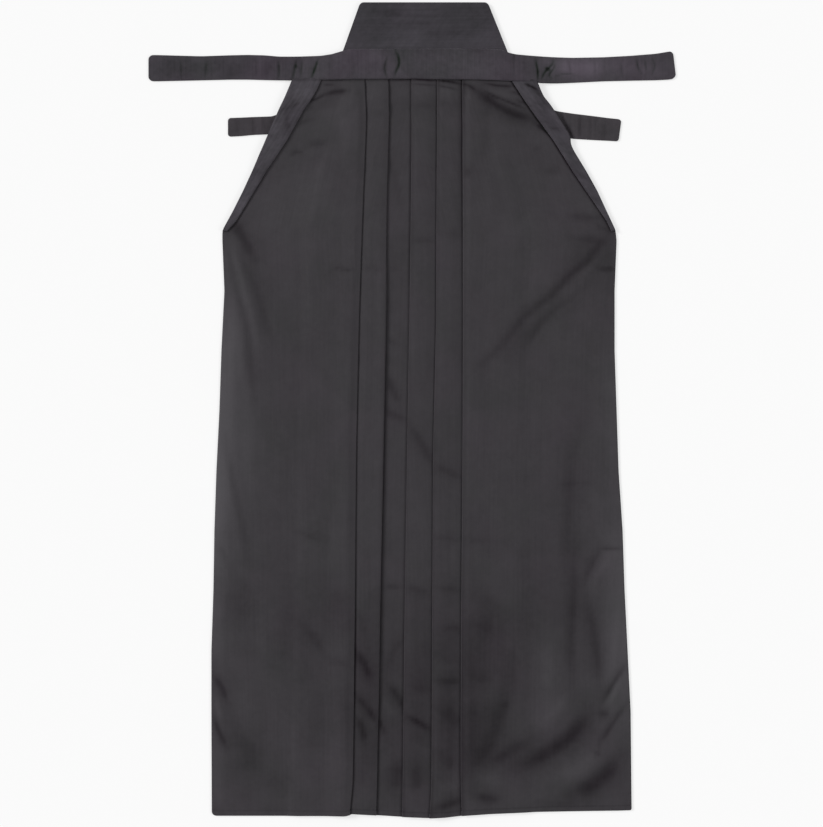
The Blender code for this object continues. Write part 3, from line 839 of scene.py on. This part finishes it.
RIGHT_PANEL_CREASES = (
    (0, 18, 0.36, ((259, 84), (261, -14), (264, -118))),
    (0, 16, -0.1, ((70, -118), (72, -248))),
    (0, 28, -0.09, ((164, -118), (168, -274))),
    (0, 40, 0.05, ((155, 214), (155, 116))),
    (-0.7, 5, -0.3, ((238, 241), (251, 235), (263, 229))),
    (-0.7, 5, -0.26, ((246, 252), (259, 239))),
    (0.9, 8, 0.12, ((261, 215), (233, 184), (202, 155))),
    (0, 20, 0.24, ((256, -118), (260, -248), (261, -365))),
    (0, 30, -0.12, ((222, 207), (194, 155))),
    (0, 24, -0.34, ((72, -261), (74, -378), (72, -489))),
    (0, 30, -0.24, ((92, -365), (87, -417), (77, -476))),
    (0, 26, 0.26, ((259, -300), (266, -378), (269, -443))),
    (0, 20, 0.2, ((176, -300), (178, -365))),
    (0, 26, -0.16, ((142, -248), (152, -300))),
    (-0.4, 3, -0.6, ((65, 423), (74, 421), (84, 414))),
    (-0.4, 2.6, -0.6, ((95, 414), (107, 407), (124, 400), (148, 391))),
    (-0.3, 2.4, -0.5, ((130, 413), (142, 409))),
    (-0.3, 2.4, -0.5, ((136, 402), (150, 397))),
    (-0.6, 4, -0.9, ((161, 371), (169, 366), (178, 359))),
    (0, 50, -0.3, ((87, -248), (103, -313), (100, -378))),
    (-0.5, 4, -0.18, ((134, -300), (135, -365))),
    (0, 24, -0.14, ((209, -40), (204, -196), (209, -365))),
    (0, 30, -0.1, ((246, 220), (261, 142))),
    (0, 40, -0.08, ((103, -404), (142, -482))),
    (0, 30, 0.14, ((168, -378), (188, -398))),
    (0, 16, 0.22, ((194, -484), (235, -469), (254, -445))),
    (0, 30, -0.2, ((212, 220), (254, 200))),
    (-0.5, 5, -0.24, ((202, 254), (233, 250), (256, 252))),
    (-0.5, 6, -0.2, ((207, 223), (235, 220), (259, 216))),
    (-2.2, 10, -0.74, ((78, 417), (99, 404), (117, 392), (139, 382), (168, 376))),
    (0, 16, -0.2, ((77, 415), (116, 387), (155, 371))),
    (-0.6, 3, -0.8, ((95, 424), (113, 421), (134, 420))),
    (1, 5, 0.2, ((98, 415), (116, 410), (136, 405))),
    (0.8, 5, 0.18, ((103, 404), (126, 396), (150, 384))),
    (1.4, 12, 0.08, ((87, 402), (113, 387), (142, 369), (168, 350))),
    (-0.5, 8, -0.2, ((69, 311), (78, 304))),
    (-0.6, 8, -0.18, ((174, 311), (196, 309))),
    (-0.5, 8, -0.14, ((159, 341), (170, 336))),
    (-0.7, 9, -0.16, ((205, 248), (242, 244))),
    (-2, 11, -0.46, ((263, 227), (243, 211), (230, 193), (207, 175),
        (182, 148), (147, 119), (120, 86), (91, 57))),
    (-1.6, 9, -0.36, ((212, 150), (190, 132), (170, 112), (148, 81))),
    (1.2, 10, 0.1, ((246, 192), (225, 168), (196, 138), (168, 109))),
    (-0.7, 3.5, -0.7, ((242, 183), (265, 183))),
    (-0.5, 5, -0.16, ((191, -96), (243, -97))),
    (-0.7, 3.5, -0.6, ((246, -179), (274, -180))),
    (-0.9, 8, -0.3, ((248, -181), (237, -197), (224, -226))),
    (0.6, 8, 0.16, ((261, -190), (243, -214), (235, -237))),
    (-0.8, 14, -0.2, ((216, -21), (207, -92), (204, -179))),
    (0.6, 14, 0.1, ((240, -98), (246, -162))),
    (-1.1, 11, -0.32, ((212, -170), (211, -248), (208, -313), (212, -374))),
    (-0.9, 12, -0.46, ((228, -242), (238, -294), (247, -362))),
    (0.8, 10, 0.24, ((269, -248), (268, -287), (264, -328))),
    (-1.2, 6, -0.72, ((280, -328), (265, -352), (248, -380))),
    (-1, 6, -0.6, ((282, -378), (264, -404), (244, -434))),
    (0.9, 7, 0.24, ((277, -346), (261, -374), (254, -385))),
    (-0.9, 7, -0.5, ((244, -393), (257, -396))),
    (-0.7, 6, -0.4, ((237, -443), (246, -448))),
    (-2.8, 19, -0.8, ((233, -388), (222, -406), (204, -427), (181, -443), (160, -456), (136, -466))),
    (-2.8, 19, -0.9, ((272, -452), (256, -470), (235, -487), (209, -499))),
    (1.6, 16, 0.2, ((246, -445), (225, -466), (194, -479))),
    (1.4, 18, 0.18, ((209, -372), (188, -396), (168, -417))),
    (-1.8, 18, -0.44, ((127, -370), (118, -391), (107, -424), (92, -452), (74, -471))),
    (0, 22, -0.12, ((116, -300), (122, -352))),
    (-0.8, 10, -0.24, ((113, -383), (129, -382))),
    (-1.4, 14, -0.46, ((103, -462), (122, -448), (142, -435), (156, -427))),
    (-0.7, 12, -0.22, ((82, -279), (108, -284))),
    (-0.5, 22, -0.16, ((83, -242), (124, -263))),
    (-0.6, 9, -0.18, ((86, -346), (101, -352))),
    (-1.1, 10, -0.6, ((82, -500), (98, -504), (116, -506))),
    (-0.6, 7, -0.22, ((162, -510), (191, -512), (220, -509))),
    (0.8, 16, 0.14, ((90, -476), (122, -483))),
    (0.8, 14, 0.1, ((181, -313), (181, -365))),
    (0, 19, 0.48, ((269, -118), (272, -222), (277, -326), (280, -398))),
    (0, 60, 0.08, ((103, 253), (155, 220))),
    (-0.5, 8, -0.14, ((68, -170), (116, -171))),
    (0, 60, -0.04, ((142, -196), (168, -300))),
)
STRIP_AB_CREASES = (
    (0, 34, -0.34, ((-51, -248), (-56, -508))),
    (0, 20, -0.12, ((-53, -235), (-56, -300))),
    (0, 20, 0.1, ((-46, 423), (-46, 397))),
    (-0.9, 9, -0.6, ((-73, -310), (-61, -332), (-51, -353))),
    (-0.9, 8, -0.6, ((-72, -369), (-58, -387), (-43, -406))),
    (-0.8, 8, -0.6, ((-70, -398), (-64, -414), (-60, -432))),
    (0.5, 5, 0.14, ((-64, -378), (-55, -396), (-48, -414))),
    (-0.5, 6, -0.16, ((-66, -261), (-61, -293))),
    (-0.5, 7, -0.14, ((-61, 184), (-35, 180))),
    (-0.5, 8, -0.14, ((-66, -463), (-61, -487))),
)
STRIP_BC_CREASES = (
    (-0.2, 2, -0.2, ((-25, 428), (-12, 428), (0, 430))),
    (0, 34, -0.24, ((-22, -248), (-25, -508))),
    (0, 20, 0.1, ((-14, 423), (-14, 402))),
    (-0.5, 7, -0.18, ((-26, 317), (-18, 291), (-14, 265))),
    (-0.6, 5, -0.2, ((-32, 93), (-13, 81))),
    (-0.8, 7, -0.4, ((-30, 44), (-23, 25), (-14, 7))),
    (-0.8, 7, -0.38, ((-35, -1), (-21, -7), (-6, -14))),
    (-0.5, 5, -0.34, ((-35, -229), (-12, -231))),
    (-0.6, 7, -0.18, ((-9, -296), (-26, -320), (-30, -349))),
    (-0.9, 8, -0.52, ((-30, -356), (-18, -372), (-9, -391))),
    (-0.8, 5, -0.42, ((-43, -401), (-38, -411), (-32, -424))),
    (0.6, 7, 0.16, ((-35, -378), (-22, -398))),
    (-0.9, 13, -0.5, ((-18, -458), (-20, -495))),
    (-0.4, 8, -0.12, ((-29, 184), (-8, 180))),
)
STRIP_CD_CREASES = (
    (-0.3, 2.2, -0.75, ((0, 430), (17, 428), (34, 427))),
    (-0.4, 2, -0.5, ((1, 423), (17, 422), (34, 421))),
    (0, 34, -0.4, ((12, -248), (6, -508))),
    (0, 9, 0.14, ((1, 413), (32, 413))),
    (-0.3, 8, -0.14, ((1, 395), (32, 395))),
    (-0.5, 6, -0.24, ((0, 220), (32, 219))),
    (-0.8, 9, -0.42, ((-4, -16), (12, -42), (30, -73))),
    (-0.5, 7, -0.34, ((-6, -231), (25, -237))),
    (-0.9, 6, -0.56, ((-6, -397), (9, -405), (27, -417))),
    (0.5, 7, 0.12, ((-4, -432), (25, -443))),
    (-0.9, 14, -0.34, ((6, -460), (8, -495))),
    (-0.5, 8, -0.16, ((-1, -357), (25, -365))),
)
STRIP_DE_CREASES = (
    (-0.3, 2.6, -0.95, ((34, 427), (48, 426), (65, 423))),
    (-0.4, 2, -0.5, ((34, 421), (48, 418), (61, 415))),
    (0, 34, -0.38, ((48, -248), (46, -508))),
    (0, 9, 0.14, ((34, 413), (64, 413))),
    (-0.3, 8, -0.16, ((34, 397), (64, 397))),
    (-0.7, 9, -0.36, ((30, -71), (47, -80), (66, -89))),
    (-0.5, 8, -0.26, ((34, -231), (64, -235))),
    (-0.5, 7, -0.24, ((30, -164), (66, -170))),
    (-0.5, 7, -0.3, ((38, -283), (66, -284))),
    (-0.7, 6, -0.3, ((30, -350), (48, -353), (66, -353))),
    (0.5, 9, 0.14, ((34, -335), (61, -332))),
    (-1, 14, -0.3, ((38, -385), (53, -398), (66, -411))),
    (-0.8, 14, -0.26, ((35, -445), (58, -463))),
    (0.5, 8, 0.14, ((43, -489), (61, -489))),
    (-1.1, 9, -0.6, ((30, -518), (48, -512), (66, -506))),
    (-0.5, 8, -0.12, ((34, 231), (64, 226))),
)
# Broad soft rises of the side panels, which the solids have too
PANEL_RISES = (
    (2.4, 20, 0, ((-228, 236), (-202, 150))),
    (2.0, 20, 0, ((-222, 130), (-208, 20))),
    (1.8, 16, 0, ((-150, 392), (-100, 410))),
    (1.6, 20, 0, ((-232, -60), (-214, -200))),
    (2.4, 18, 0, ((80, 412), (152, 378))),
    (2.6, 20, 0, ((255, 218), (182, 150))),
    (2.2, 20, 0, ((175, 132), (95, 66))),
    (2.6, 24, 0, ((240, -392), (162, -452))),
    (2.0, 20, 0, ((262, -440), (212, -484))),
    (2.2, 22, 0, ((122, -320), (98, -440))),
)


def settle(below, x):
    """The lowest cloth that stays on or above what is below and falls off it in a soft curve."""
    apart = x[:, :, None] - x[:, None, :]
    across = (below[:, None, :] - FALL * apart**2).max(axis=2)
    rows_apart = ROWS[:, None] - ROWS[None, :]
    down = (across[None, :, :] - FALL * (rows_apart**2)[:, :, None]).max(axis=1)
    soft = down
    for _ in range(4):
        padded = np.pad(soft, 1, mode="edge")
        soft = (4 * soft + padded[:-2, 1:-1] + padded[2:, 1:-1]
                + padded[1:-1, :-2] + padded[1:-1, 2:]) / 8
    return np.maximum(soft, down)


# The plies of the fronts, from the lowest up, and the shared lines that each lies between
PLIES = dict(
    strip_bc=("b_in", "c_in"), return_b=("b_in", "b"), strip_ab=("a_in", "b"),
    return_a=("a_in", "a"), panel_l=("side_l", "a"), return_c=("c", "c_in"),
    strip_cd=("c", "d_in"), return_d=("d", "d_in"), strip_de=("d", "e_in"),
    return_e=("e", "e_in"), panel_r=("e", "side_r"),
)


def columns_of(name):
    """The shared columns that a ply has its points on."""
    first, last = PLIES[name]
    return slice(AT[first], AT[last] + 1)


def lay(name, creases=(), loft=0.0, left_fade=5.0, right_fade=5.0, lift=None, seed=1):
    """Lays one ply on the pile. Gives the heights of its middle and its shade."""
    columns = columns_of(name)
    x, y = X[:, columns], Y[:, columns]
    z = settle(pile[:, columns], x) + SEAM_GAP + CLOTH / 2
    tone = np.zeros(x.shape)
    if loft:
        height, tone = crease_field(x, y, creases)
        from_left = np.clip((x - x[:, :1]) / left_fade, 0, 1)
        from_right = np.clip((x[:, -1:] - x) / right_fade, 0, 1)
        from_waist = np.clip((WAIST_Y - y) / WAIST_FREE, 0, 1)
        from_hem = np.clip((y - HEM_Y) / HEM_FREE, 0, 1)
        free = soft_step(from_left * from_right * from_waist * from_hem)
        waves = WAVE_HEIGHT * min(loft, WAVES_AT_MOST) * soft_waves(x, y, seed)
        creased = CREASE_DEPTH * height * (HELD_SHARE + (1 - HELD_SHARE) * free)
        proud = (loft + waves) * free + creased
        z = z + (proud + np.sqrt(proud**2 + ROUND_OFF**2)) / 2 - ROUND_OFF / 2
    if lift is not None:
        z = z + lift(x, y)
    pile[:, columns] = np.maximum(pile[:, columns], z + CLOTH / 2)
    return z, tone


def run(name, laid, back=False):
    """One laid ply, running right, or left where back is set. Its top end is drawn together in
    the waist seam, and it has painted shade beside the band and in the line of the hem's stitches."""
    z, tone = laid
    x = X[:, columns_of(name)]
    y = row_places(x)
    near = soft_step(1 - (WAIST_Y + WAIST_TUCK - y) / WAIST_PINCH_REACH)
    z = WAIST_CORE + (z - WAIST_CORE) * (1 - (1 - WAIST_PINCH) * near)
    by_band = np.clip((y - (WAIST_Y - BAND_SHADE_FOOT)) / BAND_SHADE_REACH, 0, 1)
    from_stitches = np.abs(ROWS - HEM_Y - HEM_DEPTH)
    by_hem = np.clip(1 - from_stitches / HEM_SHADE_REACH, 0, 1)[:, None]
    points, tones = ply(x, z, tone - BAND_SHADE * by_band - HEM_SHADE * by_hem)
    return (points[:, ::-1], tones[:, ::-1]) if back else (points, tones)


pile[(Y > BACK_TIE_LOW_Y - PILE_MARGIN) & (Y < BOARD_FOOT_Y)] = BACK_BAND_THICK
beside_board = (X > BOARD_FOOT_SPAN[0] - PILE_MARGIN) & (X < BOARD_FOOT_SPAN[1] + PILE_MARGIN)
pile[(Y > BOARD_FOOT_Y - PILE_MARGIN / 2) & beside_board] = BOARD_THICK


# Painted shade in the crevices beside the fold edges, and on the cloth that turns over three of them
PLEAT_DARKNESS = dict(
    y=(423, 324, 207, 77, -53, -183, -313, -417, -508),
    a=(0.30, 0.04, 0.02, 0.04, 0.12, 0.16, 0.86, 0.50, 0.45),
    b=(0.40, 0.24, 0.22, 0.62, 0.88, 0.90, 0.76, 0.74, 0.44),
    c=(0.56, 0.68, 0.60, 0.20, 0.44, 0.34, 0.44, 0.50, 0.56),
    d=(0.36, 0.35, 0.32, 0.20, 0.30, 0.28, 0.30, 0.50, 0.30),
    e=(1.05, 0.98, 0.56, 0.14, 0.16, 0.26, 0.26, 0.38, 0.62),
    over_c=(0.10, 0.22, 0.20, 0.14, 0.18, 0.18, 0.18, 0.28, 0.42),
    over_d=(0.24, 0.20, 0.22, 0.16, 0.24, 0.22, 0.28, 0.22, 0.40),
    over_e=(0.42, 0.12, 0.10, 0.14, 0.16, 0.22, 0.30, 0.34, 0.46),
)
TURN_DARKNESS = dict(
    y=(429, 400, 350, 311, 272, 246, 233, 231),
    left=(0.14, 0.24, 0.24, 0.18, 0.16, 0.06, 0.02, 0),
    right=(1.1, 1.15, 1.15, 1.1, 0.95, 0.75, 0.55, 0),
)


def in_fold(name, line, facing, depth, reach=CREVICE_REACH):
    """Paints shade on a laid ply in the crevice beside a fold edge, by its depth in every row. A deep
    crevice is wider too."""
    z, tone = laid[name]
    beyond = facing * (X[:, columns_of(name)] - X[:, AT[line]][:, None]) - FOLD_EDGE
    wide = reach * (CREVICE_LEAST + CREVICE_GROWTH * depth)[:, None]
    dark = depth[:, None] * np.clip(CREVICE_FULL - np.maximum(beyond, 0) / wide, 0, 1)
    laid[name] = z, tone - np.where(beyond > -2 * FOLD_EDGE, dark, 0)


def raised_edge(line, rise, reach, top_y, foot_y):
    """Lifts a ply beside a fold edge, where the photo shows the pleat standing open."""
    def lift(x, y):
        beside = np.exp(-((x - X[:, AT[line]][:, None]) / reach) ** 2)
        return rise * beside * soft_step(np.minimum(top_y - y, y - foot_y) / OPEN_REACH)
    return lift


HOW_LAID = dict(
    strip_ab=dict(creases=STRIP_AB_CREASES, loft=STRIP_LOFT, seed=5,
                  lift=raised_edge("b", 1.6, 7.0, 210, -430)),
    strip_bc=dict(creases=STRIP_BC_CREASES, loft=STRIP_LOFT),
    strip_cd=dict(creases=STRIP_CD_CREASES, loft=STRIP_LOFT),
    strip_de=dict(creases=STRIP_DE_CREASES, loft=STRIP_LOFT),
    panel_l=dict(creases=LEFT_PANEL_CREASES + PANEL_RISES, loft=PANEL_LOFT, seed=11,
                 left_fade=20, right_fade=10),
    panel_r=dict(creases=RIGHT_PANEL_CREASES + PANEL_RISES, loft=PANEL_LOFT, seed=12,
                 left_fade=10, right_fade=20, lift=raised_edge("e", 0.7, 6.0, 380, -480)),
)
laid = {name: lay(name, **HOW_LAID.get(name, {})) for name in PLIES}
pleat_dark = {edge: along(PLEAT_DARKNESS, edge, ROWS, DARKNESS_ROUNDING)
              for edge in list(PLEAT_DARKNESS)[1:]}
turn_dark = {side: along(TURN_DARKNESS, side, ROWS) * (ROWS >= OPENING_FOOT_Y)
             for side in ("left", "right")}
in_fold("strip_bc", "b", 1, pleat_dark["b"])
in_fold("strip_bc", "c", -1, pleat_dark["c"])
in_fold("strip_ab", "a", 1, pleat_dark["a"])
in_fold("strip_cd", "d", -1, pleat_dark["d"])
in_fold("strip_de", "e", -1, pleat_dark["e"])
in_fold("strip_cd", "c", 1, pleat_dark["over_c"], OVER_REACH)
in_fold("strip_de", "d", 1, pleat_dark["over_d"], OVER_REACH)
in_fold("panel_r", "e", 1, pleat_dark["over_e"], OVER_REACH)
in_fold("panel_l", "turn_l", 1, turn_dark["left"])
in_fold("panel_r", "turn_r", -1, turn_dark["right"])
for name, side, flat, area, hem_ends, order in (
    ("front_left", "left", (0.380, 0.961), 0.327, (-256, -14.5),
     ("panel_l", "return_a", "strip_ab", "return_b", "strip_bc")),
    ("front_right", "right", (0.431, 0.962), 0.356, (-11.5, 282),
     ("panel_r", "return_e", "strip_de", "return_d", "strip_cd", "return_c")),
):
    # From the top ply down, every second ply runs back
    from_left = side == "left"
    points, tones = fold([
        run(ply_name, laid[ply_name], back=(turn % 2 == 1) == from_left)
        for turn, ply_name in enumerate(order)
    ])
    front = sewn(name + "_cloth", points, tones, faces_right=from_left)
    dress(front, body_twill, "body_cloth", name)
    stitches = stitched(
        name + "_stitches", front, hem_run(*hem_ends), HEM_PITCH, 0.2)


# Turned strips of the side openings (sasa-hida): the edge of each front is folded in twice along
# the slant, pressed hard, and caught down, so it lies on the front as a flat double strip.
# The shade column is painted shade below 0 and painted light above 0, along the turned strips' creases
TURNED_STRIP_CREASES = (
    # rise, half width, shade, line
    (0, 14, -0.28, ((-150, 410), (-158, 384), (-166, 356))),
    (0, 10, 0.2, ((-207, 296), (-216, 278), (-228, 259))),
    (0, 12, 0.14, ((198, 342), (226, 300), (244, 266))),
    (0, 13, -0.22, ((164, 402), (192, 356))),
    (-0.3, 4, -0.28, ((-163, 394), (-162, 380), (-158, 358))),
    (-0.3, 4, -0.16, ((-155, 421), (-154, 410), (-153, 398))),
    (-0.5, 3, -1.1, ((146, 424), (155, 420), (164, 415))),
    (-0.3, 3, -0.4, ((162, 413), (174, 397))),
    (0.3, 5, 0.1, ((-150, 418), (-139, 413))),
    (-0.3, 5, -0.25, ((-181, 387), (-162, 392), (-142, 398))),
    (0.3, 7, 0.16, ((-165, 413), (-129, 410))),
    (-0.3, 4, -0.22, ((-186, 356), (-170, 349))),
    (0.3, 6, 0.14, ((-194, 335), (-181, 330))),
    (-0.3, 4, -0.22, ((-207, 314), (-194, 306))),
    (-0.3, 4, -0.2, ((-218, 285), (-209, 278))),
    (0.3, 5, 0.14, ((-225, 270), (-218, 265))),
    (-0.3, 4, -0.3, ((150, 421), (165, 413), (172, 405))),
    (-0.3, 4, -0.22, ((159, 397), (178, 398))),
    (0.3, 6, 0.14, ((174, 387), (191, 382))),
    (-0.3, 4, -0.24, ((179, 366), (202, 363))),
    (-0.3, 4, -0.22, ((194, 348), (208, 340))),
    (0.3, 6, 0.14, ((203, 327), (217, 322))),
    (-0.3, 4, -0.26, ((217, 306), (230, 298))),
    (-0.3, 4, -0.2, ((233, 278), (243, 271))),
    (0.3, 5, 0.12, ((242, 263), (250, 258))),
)
TURN_PITCH = 8.0
TURN_START = 14.0
TURN_STOP = 2.0
EDGE_INSET = 1.7
TURNED_STRIP_SHADE = dict(side_fold_left=0.19, side_fold_right=0.2)
turned_twill = twill("turned_twill", (0.0345, 0.0308, 0.0371), mottle=0.55)
PLIES.update(side_fold_left=("side_l", "turn_l"), side_fold_right=("turn_r", "side_r"))
strip_rows = ROWS >= OPENING_FOOT_Y
turn_y = np.arange(OPENING_FOOT_Y + TURN_START, WAIST_Y - TURN_STOP, TURN_PITCH / 2)
for name, panel, side, outward, flat, area in (
    ("side_fold_left", "panel_l", "left", -1, (0.078, 0.2), 0.0096),
    ("side_fold_right", "panel_r", "right", 1, (0.069, 0.2), 0.008),
):
    from_right = side == "right"
    columns, panel_start = columns_of(name), columns_of(panel).start
    z = laid[panel][0][:, columns.start - panel_start : columns.stop - panel_start]
    rise, tone = crease_field(X[:, columns], Y[:, columns], TURNED_STRIP_CREASES, halo=1.6)
    points, tones = fold([
        run(name, (z + PLY, 0 * tone), back=from_right),
        run(name, (z + 2 * PLY + rise, tone + TURNED_STRIP_SHADE[name]), back=not from_right),
    ])
    strip = sewn(
        name + "_cloth", points, tones, hem=False, rows=strip_rows, faces_right=not from_right)
    dress(strip, turned_twill, "body_cloth", name)
    turn = [(along(TURNS, side, y) + outward * EDGE_INSET, y) for y in turn_y]
    stitches = stitched(name + "_stitches", strip, turn, TURN_PITCH, THIN / 2)


# Front band (mae-himo): one long strip across the waist that takes in the tops of the pleats. It
# is folded in four over them, and its two free ends are the upper pair of ties.
TIE_THICK = 2.4
BAND_PITCH = 6.5
FRONT_BAND_PITCH = 1.6
FRONT_BAND_LEAN = (0, -0.12)
BAND_FALL = 0.12
OVER_PLEATS = (130, 200)
THICK_AT_PLEATS = 5.5
THIN_AT_BOARD = 1.6
FRONT_BAND_EDGES = np.array((
    # x, low, high
    (-341.9, 427.6, 461.0),
    (-334, 427.0, 461.4),
    (-273, 428.3, 459.7),
    (-235, 429.2, 461.0),
    (-212, 429.2, 461.5),
    (-190, 428.6, 460.9),
    (-172, 428.2, 459.3),
    (-154, 428.0, 459.3),
    (-118, 428.6, 459.9),
    (-104, 428.8, 461.8),
    (-90, 429.0, 466.0),
    (-80, 429.1, 468.5),
    (-40, 429.4, 468.7),
    (0, 430.0, 468.8),
    (37, 429.1, 469.0),
    (91, 428.6, 468.8),
    (117, 427.6, 468.0),
    (126, 427.2, 463.8),
    (136, 426.9, 461.6),
    (150, 426.5, 460.4),
    (168, 424.2, 459.3),
    (190, 424.2, 458.3),
    (209, 425.0, 457.7),
    (249, 427.0, 458.4),
    (283, 427.8, 460.2),
    (317, 428.4, 462.9),
    (334, 429.2, 465.6),
    (341.9, 431.0, 466.6),
))
# The shade column is painted shade below 0 and painted light above 0. The broad rows with no rise paint
# a highlight on the right tie and shade on the left tie.
FRONT_BAND_CREASES = (
    # rise, half width, shade, line
    (0, 20, -0.12, ((-222, 444), (-144, 444), (-84, 444))),
    (0, 20, 0.1, ((-9, 447), (51, 447), (122, 447))),
    (-0.6, 2.4, -0.6, ((-32, 457), (-35, 444), (-32, 431))),
    (-0.4, 2.4, -0.4, ((-142, 454), (-144, 431))),
    (-0.6, 2.4, -0.5, ((292, 457), (294, 447), (299, 436))),
    (-0.6, 2.4, -0.45, ((303, 454), (306, 439))),
    (-0.6, 2.4, -0.5, ((313, 457), (316, 447), (313, 436))),
    (-0.4, 2.4, -0.35, ((272, 454), (273, 434))),
    (-0.4, 2.4, -0.3, ((133, 467), (133, 454))),
    (-0.5, 2.4, -0.4, ((204, 454), (207, 439))),
    (-0.5, 2.4, -0.35, ((238, 454), (239, 436))),
    (-0.4, 2.4, -0.3, ((-300, 454), (-299, 431))),
    (-0.4, 2.4, -0.3, ((-266, 454), (-268, 430))),
    (0, 8, -0.12, ((-79, 466), (12, 466), (116, 466))),
    (0, 22, 0.9, ((183, 447), (220, 445), (259, 445))),
    (0, 20, 0.22, ((259, 445), (334, 444))),
    (0, 20, -0.24, ((-339, 444), (-217, 444))),
    (0, 12, -0.06, ((-79, 447), (-30, 447))),
    (-0.9, 2.8, -0.6, ((-173, 454), (-172, 441), (-173, 430))),
    (-0.8, 3, -0.6, ((-150, 453), (-152, 441), (-155, 428))),
    (-0.6, 3, -0.4, ((-151, 449), (-148, 444))),
    (-1, 2.8, -0.85, ((-121, 456), (-125, 444), (-130, 430))),
    (0.4, 4, 0.08, ((-136, 454), (-140, 441), (-143, 431))),
    (-1, 3, -0.85, ((-21, 467), (-17, 458), (-16, 449), (-20, 439), (-22, 431))),
    (-0.4, 3, -0.16, ((-32, 454), (-34, 434))),
    (-0.5, 3, -0.12, ((-74, 454), (-75, 431))),
    (-0.5, 3, -0.14, ((-202, 454), (-200, 431))),
    (-0.4, 3, -0.1, ((-233, 454), (-233, 430))),
    (-1, 2.6, -0.85, ((161, 457), (162, 449), (164, 439), (164, 428))),
    (-1, 2.6, -0.95, ((185, 456), (182, 448), (174, 440), (169, 430))),
    (-0.8, 2.4, -0.7, ((186, 453), (185, 444), (179, 436), (182, 430))),
    (-0.9, 3, -0.9, ((173, 445), (177, 443), (181, 441))),
    (-0.7, 2.2, -0.5, ((188, 434), (202, 437), (216, 434))),
    (0.5, 5, 0.12, ((177, 454), (174, 450))),
    (-0.4, 3, -0.14, ((133, 454), (133, 430))),
    (-0.4, 4, -0.1, ((251, 454), (252, 434))),
    (-0.4, 4, -0.14, ((292, 454), (296, 439))),
    (-0.3, 4, -0.12, ((311, 454), (313, 436))),
    (0.3, 6, 0.08, ((226, 447), (246, 444))),
)
band_x = spaced(FRONT_BAND_EDGES[0, 0], FRONT_BAND_EDGES[-1, 0], FRONT_BAND_PITCH)
beside = np.maximum(np.maximum(BOARD_FOOT_SPAN[0] - band_x, band_x - BOARD_FOOT_SPAN[1]), 0)
band_bottom = np.maximum(BOARD_THICK + SEAM_GAP - BAND_FALL * beside, 0)
over_pleats = np.interp(np.abs(band_x), OVER_PLEATS, (1, 0))
low_thick = TIE_THICK + (THICK_AT_PLEATS - TIE_THICK) * over_pleats
high_thick = TIE_THICK + (THIN_AT_BOARD - TIE_THICK) * over_pleats
front_band = flat_tube(
    "front_band_cloth", band_x, *eased(band_x, FRONT_BAND_EDGES), band_bottom,
    np.stack([low_thick, high_thick], axis=1),
    lambda u, v: crease_field(u, v, FRONT_BAND_CREASES, halo=1.5), corner=6.0, around=22,
    lean=FRONT_BAND_LEAN,
)
front_band_twill = twill(
    "front_band_twill", (0.039, 0.034, 0.0415), mottle=0.36, patch_and_shade_hue=(0.019, 0.001, 0.018), hue_per_painted_shade=0.3)
dress(front_band, front_band_twill, "band_cloth", "front_band")
band_high = [(x, y - EDGE_INSET) for x, y in zip(FRONT_BAND_EDGES[:, 0], FRONT_BAND_EDGES[:, 2])]
stitches = stitched(
    "front_band_stitches", front_band, band_high[1:-1], BAND_PITCH, 0.0)


# Studio: a plain pale floor, an even pale surround and two broad soft lamps from the sides, with
# the camera straight above, at the height where it takes in the photo's frame. Sizes in metres.
FLOOR_SIZE = 40.0
CAMERA_HEIGHT = 3.4
FRAME_LONG_SIDE = 1.0751
CAMERA_OVER = (0.0, -0.00455)
bm = bmesh.new()
bmesh.ops.create_grid(bm, x_segments=8, y_segments=8, size=FLOOR_SIZE / 2)
floor = new_piece("floor", bm)
floor_paint, _ = new_finish("floor_paint", {
    "Base Color": (0.35, 0.35, 0.35, 1), "Roughness": 0.9, "Specular IOR Level": 0.0,
    "Emission Color": (1, 1, 1, 1), "Emission Strength": 0.60,
})
floor.data.materials.append(floor_paint)

world = bpy.data.worlds.new("studio")
world.use_nodes = True
surround = {"Color": (1, 1, 1, 1), "Strength": 0.50}
set_sockets(world, world.node_tree.nodes["Background"], surround)
bpy.context.scene.world = world
for name, azimuth, elevation, strength in (
    ("lamp_left", 160, 33, 2.3),
    ("lamp_right", -15, 36, 0.7),
):
    lamp = bpy.data.lights.new(name, "SUN")
    lamp.energy = strength
    lamp.angle = math.radians(22)
    holder = placed(name, lamp)
    holder.rotation_euler = (0, math.radians(90 - elevation), math.radians(azimuth))

lens = bpy.data.cameras.new("camera")
lens.sensor_width = 36
lens.lens = lens.sensor_width * CAMERA_HEIGHT / FRAME_LONG_SIDE
lens.clip_end = 60
camera = placed("camera", lens)
camera.location = (*CAMERA_OVER, CAMERA_HEIGHT)
bpy.context.scene.camera = camera
bpy.context.scene.view_settings.view_transform = "Standard"
